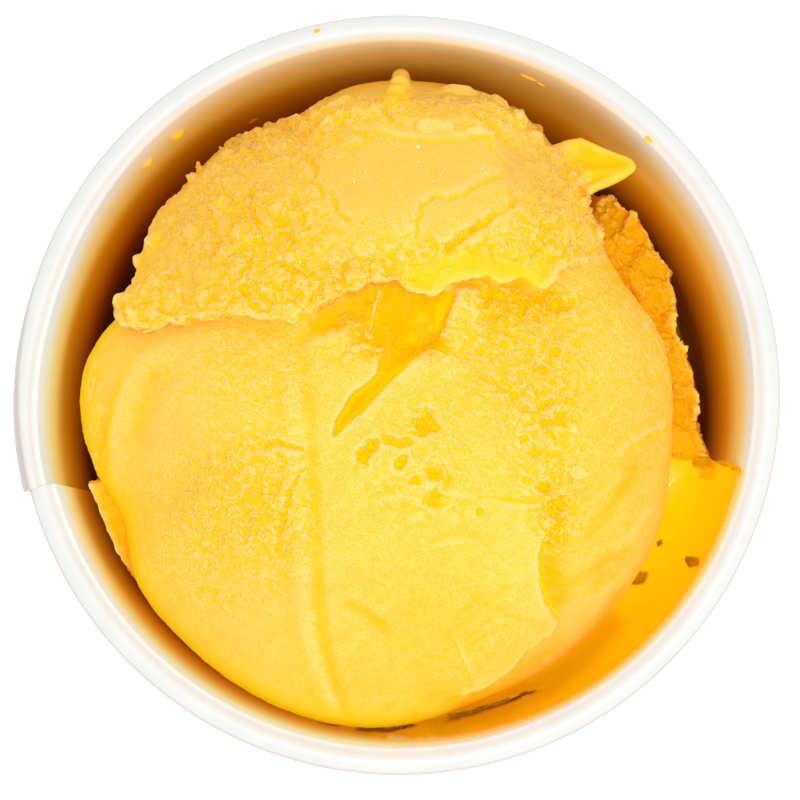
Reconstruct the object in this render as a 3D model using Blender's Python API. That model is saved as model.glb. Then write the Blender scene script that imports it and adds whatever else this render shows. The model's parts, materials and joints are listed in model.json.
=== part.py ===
"""A small paper cup filled with ice cream.

Run it with: blender --background --python part.py

Every size and place below is in millimetres, and becomes metres where a mesh is made. The origin
is the middle of the circle that the cup stands on, and +Z points up. Plan angles are degrees
counted from +X towards +Y.
"""

import math

import bmesh
import bpy
import numpy as np
from mathutils import Vector, noise

METRES = 0.001

# The cup: a tapered paper sleeve with a rolled rim and a folded foot.
CUP_HEIGHT = 50.0
RIM_DIAMETER = 76.0
FOOT_DIAMETER = 62.0
PAPER = 0.45
ROLL_RADIUS = 1.35
ROLL_TURN = 300.0
CUP_SIDES = 72
FIT_GAP = 0.3

# The sleeve's glued seam: one end of the paper lies over the other.
SEAM_ANGLE = 195.0
SEAM_STEP = 0.55
SEAM_REACH = 40.0
SEAM_BEND = 1.0
SEAM_START = 18.0

# The floor of the cup: a disc whose edge turns down into the folded foot.
FLOOR_TOP = 5.6
SKIRT_PAPER = 0.4
HEM_HEIGHT = 4.8

# The scoop: a ball, a little longer from front to back, that stands above the rim.
SCOOP_CENTRE = (-2.35, -0.35, 39.0)
SCOOP_RADII = (30.2, 33.0, 26.0)
SCOOP_GRAIN = 7
SCOOP_TRIANGLES = 7000

# Swells and hollows of the scoop's outline: plan angle, share of the radius, spread in degrees.
OUTLINE = (
    (67.0, 0.035, 14.0),
    (44.0, -0.055, 12.0),
    (28.0, -0.080, 13.0),
    (-28.0, 0.030, 16.0),
    (-72.0, -0.020, 12.0),
    (-130.0, -0.022, 25.0),
    (-163.0, -0.030, 10.0),
    (-154.0, -0.055, 8.0),
    (108.0, -0.070, 11.0),
    (130.0, -0.055, 12.0),
    (153.0, -0.145, 13.0),
)

# The flap: the upper layer that the scoop rolled over itself, and its torn lower edge.
FLAP_EDGE = (
    (-33.0, 13.0),
    (-25.4, 6.6),
    (-14.8, 6.9),
    (-8.8, 6.2),
    (-4.9, 9.0),
    (0.1, 10.2),
    (7.8, 10.6),
    (13.1, 9.9),
    (19.9, 13.1),
    (28.0, 16.0),
)
FLAP_THICKNESS = 2.0
FLAP_SCALLOP = 0.45
FLAP_SCALLOP_LENGTH = 3.4
FLAP_START = -29.0
FLAP_END = 19.0

# What lies below the flap: a torn hollow, the slit that runs from it, and the folds beside them.
HOLLOW_CENTRE = (1.8, 7.0)
HOLLOW_SPREAD = (5.0, 2.4)
HOLLOW_DEPTH = 3.2
SLIT = ((2.8, 3.6), (0.8, 2.3), (-1.6, 0.9), (-3.7, -1.8), (-6.2, -5.0))
SLIT_DEPTH = 1.8
SEAM_FOLD = ((-9.2, 5.0), (-9.2, 0.2), (-8.0, -11.2), (-7.5, -22.6), (-6.6, -27.3), (-4.9, -33.0))
SEAM_FOLD_DEPTH = 0.55
LEFT_RIDGE = ((-21.1, 4.5), (-24.9, 1.7), (-27.1, -2.0), (-28.6, -6.0), (-27.1, -10.9))
LEFT_RIDGE_HEIGHT = 0.7
RIGHT_FOLD = ((15.0, -12.1), (12.6, -16.5), (13.6, -20.4), (14.9, -22.3), (11.6, -25.4), (0.1, -30.2))
RIGHT_FOLD_STEP = 0.7
CAP_RIDGES = ((-13.0, 22.0), (-5.8, 26.0), (0.5, 27.6), (7.1, 26.2), (14.0, 20.5))
CAP_RIDGE_HEIGHT = 0.7

# Pits in the smooth lobe: middle, depth and radius.
PITS = (
    ((-3.4, -7.0), 1.0, 1.2),
    ((2.0, -4.3), 1.3, 1.4),
    ((0.0, -7.4), 0.6, 0.8),
    ((3.7, -8.6), 0.5, 1.2),
    ((15.3, -8.0), 0.7, 1.3),
)

# Bits drawn out of the scoop: where each stands, the way it points, its length and its radius.
NUB = ((0.1, 32.4, 45.0), (0.0, 1.0), 1.5, 1.6)
CURL = ((17.2, 24.0, 46.5), (0.99, -0.1), 6.8, 2.6)

# Rough places, where the scraped ice cream is open and craggy: middle, reach and roughness.
ROUGH = (
    ((-17.0, 19.0), 13.0, 0.75),
    ((13.0, 18.0), 10.0, 0.6),
    ((-16.0, -13.0), 7.5, 0.4),
    ((13.5, 2.0), 8.5, 0.45),
    ((5.0, 6.0), 6.0, 0.5),
)
SMOOTH_RELIEF = 0.1
CRAG_LENGTH = 2.6

# The lower mass, which fills the cup under and round the scoop. Each row is a plan angle, the
# level beside the scoop, the level at the cup's wall, and the radius where one becomes the other.
LOWER_FORM = (
    (-180.0, 26.0, 21.0, 31.6),
    (-168.5, 28.0, 21.0, 31.8),
    (-166.5, 40.0, 22.0, 33.4),
    (-153.0, 39.0, 22.0, 33.2),
    (-146.0, 36.0, 22.0, 32.6),
    (-140.0, 31.0, 22.0, 32.0),
    (-115.0, 28.0, 26.0, 32.0),
    (-100.0, 33.0, 35.5, 32.2),
    (-84.0, 36.5, 42.5, 32.2),
    (-60.0, 38.5, 46.0, 32.3),
    (-35.0, 40.3, 47.0, 32.3),
    (-12.0, 41.2, 47.3, 32.4),
    (-10.0, 39.0, 22.0, 32.2),
    (3.0, 38.5, 22.0, 31.0),
    (13.0, 38.5, 22.0, 29.8),
    (22.0, 38.5, 22.0, 30.9),
    (30.0, 38.5, 22.0, 31.3),
    (39.0, 38.0, 22.0, 31.7),
    (45.0, 36.0, 22.0, 31.4),
    (49.0, 26.0, 22.0, 30.4),
    (130.0, 24.0, 21.0, 31.0),
    (148.0, 31.0, 21.0, 31.4),
    (162.0, 29.0, 21.0, 31.4),
    (180.0, 26.0, 21.0, 31.6),
)
LOWER_SIDES = 72
LOWER_INNER_RINGS = (0.3, 0.55, 0.75, 0.88, 0.95, 0.985, 0.999)
LOWER_OUTER_RINGS = (0.0, 0.3, 0.6, 1.0)
LOWER_EDGE_SPREAD = 1.0
LOWER_CRAGS = 0.7

PAPER_WHITE = (0.90, 0.88, 0.84)
MANGO_YELLOW = (0.98, 0.62, 0.07)
MANGO_DEEP = (0.96, 0.50, 0.03)


def ease(value, low, high):
    """A smooth rise from 0 at low to 1 at high."""
    share = np.clip((value - low) / (high - low), 0.0, 1.0)
    return share * share * (3.0 - 2.0 * share)


def bell(value, spread):
    """A smooth bump, 1 in the middle and about a third of that one spread away."""
    return np.exp(-((value / spread) ** 2))


def beside(route, x, y):
    """For plan points, the distance from a route, positive on its left, and the share passed."""
    corners = np.array(route)
    pieces = np.hypot(*(corners[1:] - corners[:-1]).T)
    passed = np.concatenate(([0.0], np.cumsum(pieces)))
    nearest = np.full(x.shape, np.inf)
    share = np.zeros(x.shape)
    for index, length in enumerate(pieces):
        step_x, step_y = (corners[index + 1] - corners[index]) / length
        from_x = x - corners[index][0]
        from_y = y - corners[index][1]
        run = np.clip(from_x * step_x + from_y * step_y, 0.0, length)
        off_x = from_x - run * step_x
        off_y = from_y - run * step_y
        side = np.where(step_x * off_y - step_y * off_x < 0.0, -1.0, 1.0)
        distance = np.hypot(off_x, off_y)
        closer = distance < np.abs(nearest)
        nearest = np.where(closer, side * distance, nearest)
        share = np.where(closer, (passed[index] + run) / passed[-1], share)
    return nearest, share


def crags(points, length, octaves=4):
    """Uneven relief of about -1 to 1 at points, whose largest bumps are about one length wide."""
    return np.array([noise.fractal(Vector(p) / length, 0.9, 2.1, octaves) for p in points])


def new_material(name, colour, roughness):
    """A material with one colour and one roughness."""
    material = bpy.data.materials.new(name)
    material.use_nodes = True
    shader = material.node_tree.nodes["Principled BSDF"]
    shader.inputs["Base Color"].default_value = (*colour, 1.0)
    shader.inputs["Roughness"].default_value = roughness
    shader.inputs["Metallic"].default_value = 0.0
    material.diffuse_color = (*colour, 1.0)
    return material


def new_object(name, shape, material, parent):
    """Put a bmesh in the scene, shaded smooth apart from its sharp edges."""
    mesh = bpy.data.meshes.new(name)
    bmesh.ops.recalc_face_normals(shape, faces=shape.faces)
    shape.to_mesh(mesh)
    shape.free()
    mesh.shade_smooth()
    mesh.set_sharp_from_angle(angle=math.radians(40.0))
    mesh.materials.append(material)
    item = bpy.data.objects.new(name, mesh)
    item.parent = parent
    bpy.context.scene.collection.objects.link(item)
    return item


def wall_outside(height):
    """The radius of the sleeve's outer face at a height."""
    top = RIM_DIAMETER / 2.0 - 2.0 * ROLL_RADIUS + PAPER
    foot = FOOT_DIAMETER / 2.0
    return foot + (top - foot) * height / (CUP_HEIGHT - ROLL_RADIUS)


def wall_inside(height):
    """The radius of the sleeve's inner face at a height."""
    return wall_outside(height) - PAPER


def seam_shift(angle, height):
    """How far the lapped paper stands out: most at the seam, less north of it, none in the foot."""
    before = (SEAM_ANGLE - angle) % 360.0
    if before >= SEAM_REACH:
        return 0.0
    return SEAM_STEP * float((1.0 - ease(before, 0.0, SEAM_REACH)) * ease(height, HEM_HEIGHT, SEAM_START))


def cup_angles():
    """The plan angles of the cup's columns, with the seam's two sides close together."""
    even = [360.0 * column / CUP_SIDES for column in range(CUP_SIDES)]
    clear = [angle for angle in even if abs(angle - SEAM_ANGLE) > 2.0 * SEAM_BEND]
    return sorted(clear + [SEAM_ANGLE, SEAM_ANGLE + SEAM_BEND])


def arc(centre, radius, start, end, steps):
    """Points on an arc in the profile plane, from one angle to another."""
    turns = [math.radians(start + (end - start) * step / steps) for step in range(steps + 1)]
    return [(centre[0] + radius * math.cos(t), centre[1] + radius * math.sin(t)) for t in turns]


def turned_ring(profile, angles, shift):
    """A closed profile of (radius, height) points, swept round the cup's axis."""
    shape = bmesh.new()
    rings = []
    for angle in angles:
        turn = math.radians(angle)
        column = []
        for radius, height in profile:
            out = radius + shift(angle, height)
            place = Vector((out * math.cos(turn), out * math.sin(turn), height))
            column.append(shape.verts.new(place * METRES))
        rings.append(column)
    for here, there in zip(rings, rings[1:] + rings[:1]):
        for row in range(len(profile)):
            after = (row + 1) % len(profile)
            shape.faces.new((here[row], there[row], there[after], here[after]))
    return shape


def wall_profile():
    """The sleeve in section: the rolled rim, the wall, and the foot folded up inside."""
    roll = (RIM_DIAMETER / 2.0 - ROLL_RADIUS, CUP_HEIGHT - ROLL_RADIUS)
    rim_outside = arc(roll, ROLL_RADIUS, 180.0, 180.0 - ROLL_TURN, 10)
    rim_inside = arc(roll, ROLL_RADIUS - PAPER, 180.0 - ROLL_TURN, 180.0, 7)
    channel = 2.0 * FIT_GAP + SKIRT_PAPER
    foot = [
        (wall_outside(SEAM_START), SEAM_START),
        (wall_outside(0.0), 0.0),
        (wall_inside(0.0) - channel - PAPER, 0.0),
        (wall_inside(HEM_HEIGHT) - channel - PAPER, HEM_HEIGHT),
        (wall_inside(HEM_HEIGHT) - channel, HEM_HEIGHT),
        (wall_inside(PAPER) - channel, PAPER),
        (wall_inside(PAPER), PAPER),
        (wall_inside(SEAM_START), SEAM_START),
    ]
    return rim_outside + rim_inside + foot


def make_cup_wall(parent):
    """The sleeve, with its rim rolled outwards and its foot folded inwards."""
    shape = turned_ring(wall_profile(), cup_angles(), seam_shift)
    return new_object("cup_wall", shape, new_material("coated paper", PAPER_WHITE, 0.45), parent)


def make_cup_base(parent):
    """The disc that closes the cup, with its edge turned down into the foot's fold."""
    skirt_foot = PAPER + FIT_GAP
    under = FLOOR_TOP - PAPER
    inner_edge = wall_inside(under) - FIT_GAP - SKIRT_PAPER
    profile = [
        (wall_inside(FLOOR_TOP) - FIT_GAP, FLOOR_TOP),
        (wall_inside(skirt_foot) - FIT_GAP, skirt_foot),
        (wall_inside(skirt_foot) - FIT_GAP - SKIRT_PAPER, skirt_foot),
        (inner_edge, under),
    ]
    shape = bmesh.new()
    angles = [math.radians(360.0 * column / CUP_SIDES) for column in range(CUP_SIDES)]
    rings = [
        [
            shape.verts.new((r * math.cos(t) * METRES, r * math.sin(t) * METRES, z * METRES))
            for t in angles
        ]
        for r, z in profile
    ]
    for upper, lower in zip(rings, rings[1:]):
        for column in range(CUP_SIDES):
            after = (column + 1) % CUP_SIDES
            shape.faces.new((upper[column], upper[after], lower[after], lower[column]))
    for ring, height in ((rings[0], FLOOR_TOP), (rings[-1], under)):
        middle = shape.verts.new((0.0, 0.0, height * METRES))
        for column in range(CUP_SIDES):
            shape.faces.new((middle, ring[column], ring[(column + 1) % CUP_SIDES]))
    return new_object("cup_base", shape, new_material("plain paper", PAPER_WHITE, 0.6), parent)


def outline_share(x, y):
    """The scoop's radius at a plan point's angle, as a share of its plain ellipse."""
    angle = np.degrees(np.arctan2(y - SCOOP_CENTRE[1], x - SCOOP_CENTRE[0]))
    share = np.ones(np.shape(x))
    for middle, swell, spread in OUTLINE:
        away = (angle - middle + 180.0) % 360.0 - 180.0
        share = share + swell * bell(away, spread)
    return share


def flap_relief(x, y):
    """The flap's thickness, and the torn hollow, slit and step below its edge."""
    scallop = FLAP_SCALLOP * np.abs(np.sin(math.pi * x / FLAP_SCALLOP_LENGTH)) * ease(x, 0.0, 3.0)
    edge_x, edge_y = np.array(FLAP_EDGE).T
    above = y - np.interp(x, edge_x, edge_y) + scallop
    fading = (1.0 - ease(x, FLAP_END - 9.0, FLAP_END)) * ease(x, FLAP_START, FLAP_START + 6.0)
    flap = FLAP_THICKNESS * ease(above, -0.5, 0.7) * (1.0 - ease(above, 3.0, 15.0)) * fading
    lip = 0.5 * bell(above - 1.2, 1.2) * fading
    off_x = (x - HOLLOW_CENTRE[0]) / HOLLOW_SPREAD[0]
    off_y = (y - HOLLOW_CENTRE[1]) / HOLLOW_SPREAD[1]
    hollow = HOLLOW_DEPTH * np.exp(-(off_x**2 + off_y**2)) * (1.0 - ease(above, -0.8, 0.4))
    return flap + lip - hollow


def fold_relief(x, y):
    """The slit, the long seam fold, the soft ridge on the left and the fold on the right."""
    off, share = beside(SLIT, x, y)
    ends = np.sin(math.pi * np.clip(share, 0.03, 0.97)) ** 0.6
    height = -SLIT_DEPTH * bell(off, 0.7) * ends
    height = height + 0.9 * ease(off, -0.1, 1.0) * bell(off - 1.0, 3.0) * ends
    off, share = beside(SEAM_FOLD, x, y)
    ends = ease(share, 0.0, 0.15)
    height = height + SEAM_FOLD_DEPTH * (bell(off - 0.7, 0.8) - 1.3 * bell(off + 0.3, 0.5)) * ends
    off, share = beside(LEFT_RIDGE, x, y)
    height = height + LEFT_RIDGE_HEIGHT * bell(off, 1.6) * np.sin(math.pi * share)
    off, share = beside(RIGHT_FOLD, x, y)
    fade = bell(off, 5.0) * ease(share, 0.0, 0.1) * (1.0 - ease(share, 0.85, 1.0))
    height = height - RIGHT_FOLD_STEP * ease(off, -0.3, 0.6) * fade
    off, share = beside(CAP_RIDGES, x, y)
    ridges = bell(off, 0.8) + 0.7 * bell(off - 3.0, 0.9)
    return height + CAP_RIDGE_HEIGHT * ridges * np.sin(math.pi * share)


def pit_relief(x, y):
    """The small pits, each a rounded hole."""
    height = np.zeros(x.shape)
    for (middle_x, middle_y), depth, radius in PITS:
        height = height - depth * bell(np.hypot(x - middle_x, y - middle_y), radius)
    return height


def roughness_at(x, y):
    """How strong the crags are at a plan point."""
    strength = np.full(x.shape, SMOOTH_RELIEF)
    for (middle_x, middle_y), reach, amount in ROUGH:
        strength = strength + amount * bell(np.hypot(x - middle_x, y - middle_y), reach)
    return strength


def drawn_out(points, place, length, radius):
    """How far points are pulled out into one bit that stands off the scoop."""
    distance = np.linalg.norm(points - np.array(place), axis=1)
    return length * np.clip(1.0 - distance / (1.5 * radius), 0.0, 1.0)


def sculpt_scoop(directions):
    """Move points on a unit ball to the scoop's surface."""
    radii = np.array(SCOOP_RADII)
    centre = np.array(SCOOP_CENTRE)
    points = directions * radii
    outline = outline_share(points[:, 0] + centre[0], points[:, 1] + centre[1])
    points[:, :2] *= outline[:, None]
    points += centre
    normals = directions / radii
    normals /= np.linalg.norm(normals, axis=1)[:, None]
    x, y = points[:, 0], points[:, 1]
    upper = ease(normals[:, 2], 0.0, 0.3)
    relief = flap_relief(x, y) + fold_relief(x, y) + pit_relief(x, y)
    rough = crags(points, CRAG_LENGTH) * roughness_at(x, y)
    inward = -np.abs(rough) * 0.6
    height = upper * (relief + rough) + (1.0 - upper) * inward
    points = points + normals * height[:, None]
    for place, way, length, radius in (NUB, CURL):
        pull = drawn_out(points, place, length, radius)
        points[:, :2] += np.array(way) * pull[:, None]
    return points


def make_scoop(parent):
    """The big scoop of ice cream, with its flap, folds, pits and crags."""
    shape = bmesh.new()
    bmesh.ops.create_icosphere(shape, subdivisions=SCOOP_GRAIN, radius=1.0)
    directions = np.array([corner.co.normalized() for corner in shape.verts])
    places = sculpt_scoop(directions) * METRES
    for corner, place in zip(shape.verts, places):
        corner.co = place
    full_count = len(shape.faces)
    material = new_material("ice cream", MANGO_YELLOW, 0.5)
    item = new_object("ice_cream_scoop", shape, material, parent)
    thin_out = item.modifiers.new("fewer faces", "DECIMATE")
    thin_out.ratio = SCOOP_TRIANGLES / full_count
    return item


def scoop_share(x, y):
    """How far out a plan point is: 1 on the outline of the scoop with its clearance."""
    over_x = (x - SCOOP_CENTRE[0]) / (SCOOP_RADII[0] + FIT_GAP)
    over_y = (y - SCOOP_CENTRE[1]) / (SCOOP_RADII[1] + FIT_GAP)
    return np.hypot(over_x, over_y) / outline_share(x, y)


def under_scoop(x, y):
    """The height of the hollow that the scoop sits in, at plan points inside its outline."""
    share = np.clip(scoop_share(x, y), 0.0, 1.0)
    depth = (SCOOP_RADII[2] + 2.0 * FIT_GAP) * np.sqrt(1.0 - share**2)
    return SCOOP_CENTRE[2] - depth


def outline_radius(angle):
    """The radius from the cup's axis where the scoop's clearance ends, at a plan angle."""
    reach = np.linspace(20.0, 40.0, 401)
    turn = math.radians(angle)
    share = scoop_share(reach * math.cos(turn), reach * math.sin(turn))
    return float(np.interp(1.0, share, reach))


def lower_level(angle, radius):
    """The lower mass's free height at one plan angle, for the radii of its rings."""
    angles, inner, outer, edge = np.array(LOWER_FORM).T
    beside_scoop = np.interp(angle, angles, inner)
    at_wall = np.interp(angle, angles, outer)
    middle = np.interp(angle, angles, edge)
    blend = ease(radius, middle - LOWER_EDGE_SPREAD, middle + LOWER_EDGE_SPREAD)
    return beside_scoop + (at_wall - beside_scoop) * blend


def lower_column(angle):
    """The lower mass's (radius, height) points at one plan angle, from the axis to the floor."""
    turn = math.radians(angle)
    hollow_edge = outline_radius(angle)
    inner = [hollow_edge * share for share in LOWER_INNER_RINGS]
    at_wall = float(lower_level(angle, np.array([40.0]))[0])
    wall = wall_inside(at_wall) - FIT_GAP
    start = min(hollow_edge + 0.1, wall - 1.0)
    outer = [start + (wall - start) * share for share in LOWER_OUTER_RINGS]
    radii = np.array(inner + outer)
    x = radii * math.cos(turn)
    y = radii * math.sin(turn)
    top = lower_level(angle, radii)
    inside = radii < hollow_edge
    top = np.where(inside, np.minimum(top, under_scoop(x, y)), top)
    loose = crags(np.stack([x, y, top], axis=1), CRAG_LENGTH * 1.3) * LOWER_CRAGS
    free = np.where(inside, 0.0, 1.0)
    free[-1] = 0.0
    top = top + loose * free
    floor = FLOOR_TOP + FIT_GAP
    sides = [(wall_inside(floor) - FIT_GAP, floor)]
    return list(zip(radii.tolist(), top.tolist())) + sides


def make_lower_mass(parent):
    """The ice cream under and round the scoop, with the melted skirt that climbs the wall."""
    shape = bmesh.new()
    angles = [360.0 * column / LOWER_SIDES - 180.0 for column in range(LOWER_SIDES)]
    columns = []
    for angle in angles:
        turn = math.radians(angle)
        columns.append(
            [
                shape.verts.new((r * math.cos(turn) * METRES, r * math.sin(turn) * METRES, z * METRES))
                for r, z in lower_column(angle)
            ]
        )
    middle_top = float(under_scoop(np.array([0.0]), np.array([0.0]))[0])
    top = shape.verts.new((0.0, 0.0, middle_top * METRES))
    bottom = shape.verts.new((0.0, 0.0, (FLOOR_TOP + FIT_GAP) * METRES))
    for here, there in zip(columns, columns[1:] + columns[:1]):
        shape.faces.new((top, here[0], there[0]))
        shape.faces.new((bottom, there[-1], here[-1]))
        for row in range(len(here) - 1):
            shape.faces.new((here[row], here[row + 1], there[row + 1], there[row]))
    material = new_material("softer ice cream", MANGO_DEEP, 0.35)
    return new_object("ice_cream_base", shape, material, parent)


def main():
    """Empty the scene and build the cup and what is in it."""
    for old in list(bpy.data.objects):
        bpy.data.objects.remove(old)
    cup = bpy.data.objects.new("cup_of_ice_cream", None)
    bpy.context.scene.collection.objects.link(cup)
    make_cup_wall(cup)
    make_cup_base(cup)
    make_lower_mass(cup)
    make_scoop(cup)


main()
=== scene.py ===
"""The looks of a small paper cup of mango ice cream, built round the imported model.

Sizes in the classes are millimetres unless a comment says otherwise, and become metres where a mesh
is made. The origin is the middle of the circle that the cup stands on, +Z is up, and the picture
is taken from almost straight above with +Y at the top of the frame. Places that were read off the
photograph are pixels of its 800 by 800 frame, in fields whose names end in _px.
"""

import json
import logging
import math
from dataclasses import dataclass
from enum import Enum
from typing import Any, Callable, Sequence

import bmesh
import bpy
import numpy as np
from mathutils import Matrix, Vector, noise
from mathutils.bvhtree import BVHTree

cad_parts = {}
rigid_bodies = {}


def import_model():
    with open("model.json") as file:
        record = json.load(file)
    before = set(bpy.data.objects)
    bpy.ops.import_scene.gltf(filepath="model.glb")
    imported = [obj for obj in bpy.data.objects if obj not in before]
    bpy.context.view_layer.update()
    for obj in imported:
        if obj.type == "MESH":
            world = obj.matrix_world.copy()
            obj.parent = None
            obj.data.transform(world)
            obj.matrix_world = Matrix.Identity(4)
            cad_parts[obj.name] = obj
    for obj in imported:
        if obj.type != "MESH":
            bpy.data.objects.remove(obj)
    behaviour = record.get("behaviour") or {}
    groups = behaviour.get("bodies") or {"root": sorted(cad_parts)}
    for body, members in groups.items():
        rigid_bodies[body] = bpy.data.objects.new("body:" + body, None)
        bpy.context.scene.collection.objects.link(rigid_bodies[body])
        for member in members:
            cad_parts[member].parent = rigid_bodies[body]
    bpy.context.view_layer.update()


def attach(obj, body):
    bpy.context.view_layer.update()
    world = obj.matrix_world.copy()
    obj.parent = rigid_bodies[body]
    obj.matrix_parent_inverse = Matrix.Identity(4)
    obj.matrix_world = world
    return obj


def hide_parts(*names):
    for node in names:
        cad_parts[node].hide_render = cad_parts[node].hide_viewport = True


LOG = logging.getLogger("cup_of_ice_cream")
METRES = 0.001
Array = np.ndarray
Piece = bpy.types.Object
Socket = bpy.types.NodeSocket
Pixels = Sequence[tuple[float, float]]


# --- Small tools for shapes ---


def ease(value: Array, low: float, high: float) -> Array:
    """A smooth rise from 0 at low to 1 at high."""
    share = np.clip((value - low) / (high - low), 0.0, 1.0)
    return share * share * (3.0 - 2.0 * share)


def bell(value: Array, spread: float) -> Array:
    """A smooth bump, 1 in the middle and about a third of that one spread away."""
    return np.exp(-((value / spread) ** 2))


def beside(route: Array, x: Array, y: Array) -> tuple[Array, Array]:
    """Where plan points lie along a route.

    Args:
        route: The route's corners, one (x, y) row each.
        x: The points' x.
        y: The points' y.

    Returns:
        The distance from the route, positive on its left, and the share of its length passed.
    """
    pieces = np.hypot(*(route[1:] - route[:-1]).T)
    passed = np.concatenate(([0.0], np.cumsum(pieces)))
    nearest = np.full(x.shape, np.inf)
    share = np.zeros(x.shape)
    for index, length in enumerate(pieces):
        step_x, step_y = (route[index + 1] - route[index]) / length
        from_x = x - route[index][0]
        from_y = y - route[index][1]
        run = np.clip(from_x * step_x + from_y * step_y, 0.0, length)
        off_x = from_x - run * step_x
        off_y = from_y - run * step_y
        side = np.where(step_x * off_y - step_y * off_x < 0.0, -1.0, 1.0)
        distance = np.hypot(off_x, off_y)
        closer = distance < np.abs(nearest)
        nearest = np.where(closer, side * distance, nearest)
        share = np.where(closer, (passed[index] + run) / passed[-1], share)
    return nearest, share


def along_across(x: Array, y: Array, turn: float) -> tuple[Array, Array]:
    """Plan offsets, measured along and across a way that runs at a turn in degrees from +X."""
    cos, sin = math.cos(math.radians(turn)), math.sin(math.radians(turn))
    return x * cos + y * sin, y * cos - x * sin


def fractal(points: Array, length: float, octaves: int = 5, roughness: float = 0.9) -> Array:
    """Uneven relief, about -1 to 1, whose largest bumps are about one length wide."""
    places = (points / length).tolist()
    return np.array([noise.fractal(p, roughness, 2.1, octaves) for p in places])


def stretched(points: Array, stretch: float, turn: float) -> Array:
    """Points squeezed along one way in plan, so that relief looked up there comes out longer.

    Args:
        points: Where to look, in millimetres.
        stretch: How many times longer than wide the relief comes out.
        turn: The way that it runs in plan, in degrees from +X.

    Returns:
        The squeezed points.
    """
    along, across = along_across(points[:, 0], points[:, 1], turn)
    return np.stack([along / stretch, across, points[:, 2] / stretch], axis=1)


def bent(points: Array, length: float, reach: float) -> Array:
    """Points moved about at random, so that relief looked up there loses its regular shapes."""
    wander = [fractal(points + start, length, 2) for start in (7.0, 19.0, 31.0)]
    return points + reach * np.stack(wander, axis=1)


def crumbs(points: Array, length: float, share: float) -> Array:
    """Loose round crumbs.

    Args:
        points: Where to look.
        length: How far apart the crumbs are.
        share: The share of them that is there.

    Returns:
        Their height, from 0 to 1.
    """
    found = [noise.voronoi(p) for p in (points / length).tolist()]
    near = np.array([distances[0] for distances, _ in found])
    chance = np.array([noise.cell(places[0] * 5.3) for _, places in found]) * 0.5 + 0.5
    lump = np.clip(1.0 - (near / 0.62) ** 2, 0.0, 1.0) ** 0.7
    return lump * ease(chance, 1.0 - share, 1.15 - share) * (0.5 + 0.5 * chance)


def rubble(points: Array, lengths: Sequence[float], share: float, tall: float = 0.32) -> Array:
    """A heap of crumbs of several sizes.

    Args:
        points: Where to look.
        lengths: How far apart the crumbs of each size are.
        share: The share of them that is there.
        tall: A crumb's height as a share of that distance.

    Returns:
        The heap's height in millimetres.
    """
    height = np.zeros(len(points))
    for index, length in enumerate(lengths):
        height = np.maximum(height, tall * length * crumbs(points + 9.0 * index, length, share))
    return height


def chunks(points: Array, length: float, tilt: float = 0.7) -> Array:
    """Broken chunks: tops at odd angles, with crevices between them.

    Args:
        points: Where to look.
        length: About how wide a chunk is.
        tilt: How steep the tops are.

    Returns:
        Their height, from 0 to about 1.
    """
    scaled = points / length
    found = [noise.voronoi(p) for p in scaled.tolist()]
    near = np.array([distances[:2] for distances, _ in found])
    middles = np.array([places[0].to_tuple() for _, places in found])
    odd = np.array([noise.cell_vector(places[0] * 5.3).to_tuple() for _, places in found])
    odd = 2.0 * (odd - odd.mean(axis=0)) / (odd.max(axis=0) - odd.min(axis=0))
    top = 0.5 + 0.3 * odd[:, 2] + tilt * np.einsum("ij,ij->i", scaled - middles, odd)
    return np.clip(top, 0.0, 1.2) * ease(near[:, 1] - near[:, 0], 0.0, 0.22)


def flakes(values: Array, steps: float, crisp: float = 0.25) -> Array:
    """Turn a smooth relief into flat flakes with steep torn edges.

    Args:
        values: The smooth relief.
        steps: How many flakes lie over each other in one unit of relief.
        crisp: The share of each flake's width that its sloping edge takes.

    Returns:
        The flaked relief, in the same units.
    """
    scaled = values * steps
    whole = np.floor(scaled)
    return (whole + ease(scaled - whole, 1.0 - crisp, 1.0)) / steps


def read_vectors(piece: Piece, name: str) -> Array:
    """One vector for each vertex.

    Args:
        piece: The piece.
        name: Either co or normal.

    Returns:
        The vectors, one row each.
    """
    flat = np.empty(len(piece.data.vertices) * 3, np.float32)
    piece.data.vertices.foreach_get(name, flat)
    return flat.reshape(-1, 3).astype(float)


def read_points(piece: Piece) -> Array:
    """The vertices of a piece, in millimetres."""
    return read_vectors(piece, "co") / METRES


def read_normals(piece: Piece) -> Array:
    """The vertex normals of a piece."""
    return read_vectors(piece, "normal")


def write_points(piece: Piece, points: Array) -> None:
    """Move the vertices of a piece to points given in millimetres."""
    piece.data.vertices.foreach_set("co", (points * METRES).astype(np.float32).ravel())
    piece.data.update()


def write_attribute(piece: Piece, name: str, values: Array) -> None:
    """Store one number for each vertex, for the piece's material to read."""
    layer = piece.data.attributes.get(name) or piece.data.attributes.new(name, "FLOAT", "POINT")
    layer.data.foreach_set("value", values.astype(np.float32))


def write_shares(piece: Piece, **shares: Array | float) -> None:
    """Store numbers for each vertex, for the piece's material to read.

    Args:
        piece: The piece.
        shares: The attributes by name, each kept from 0 to 1.
    """
    for name, values in shares.items():
        even = np.broadcast_to(np.clip(values, 0.0, 1.0), len(piece.data.vertices))
        write_attribute(piece, name, even)


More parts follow.
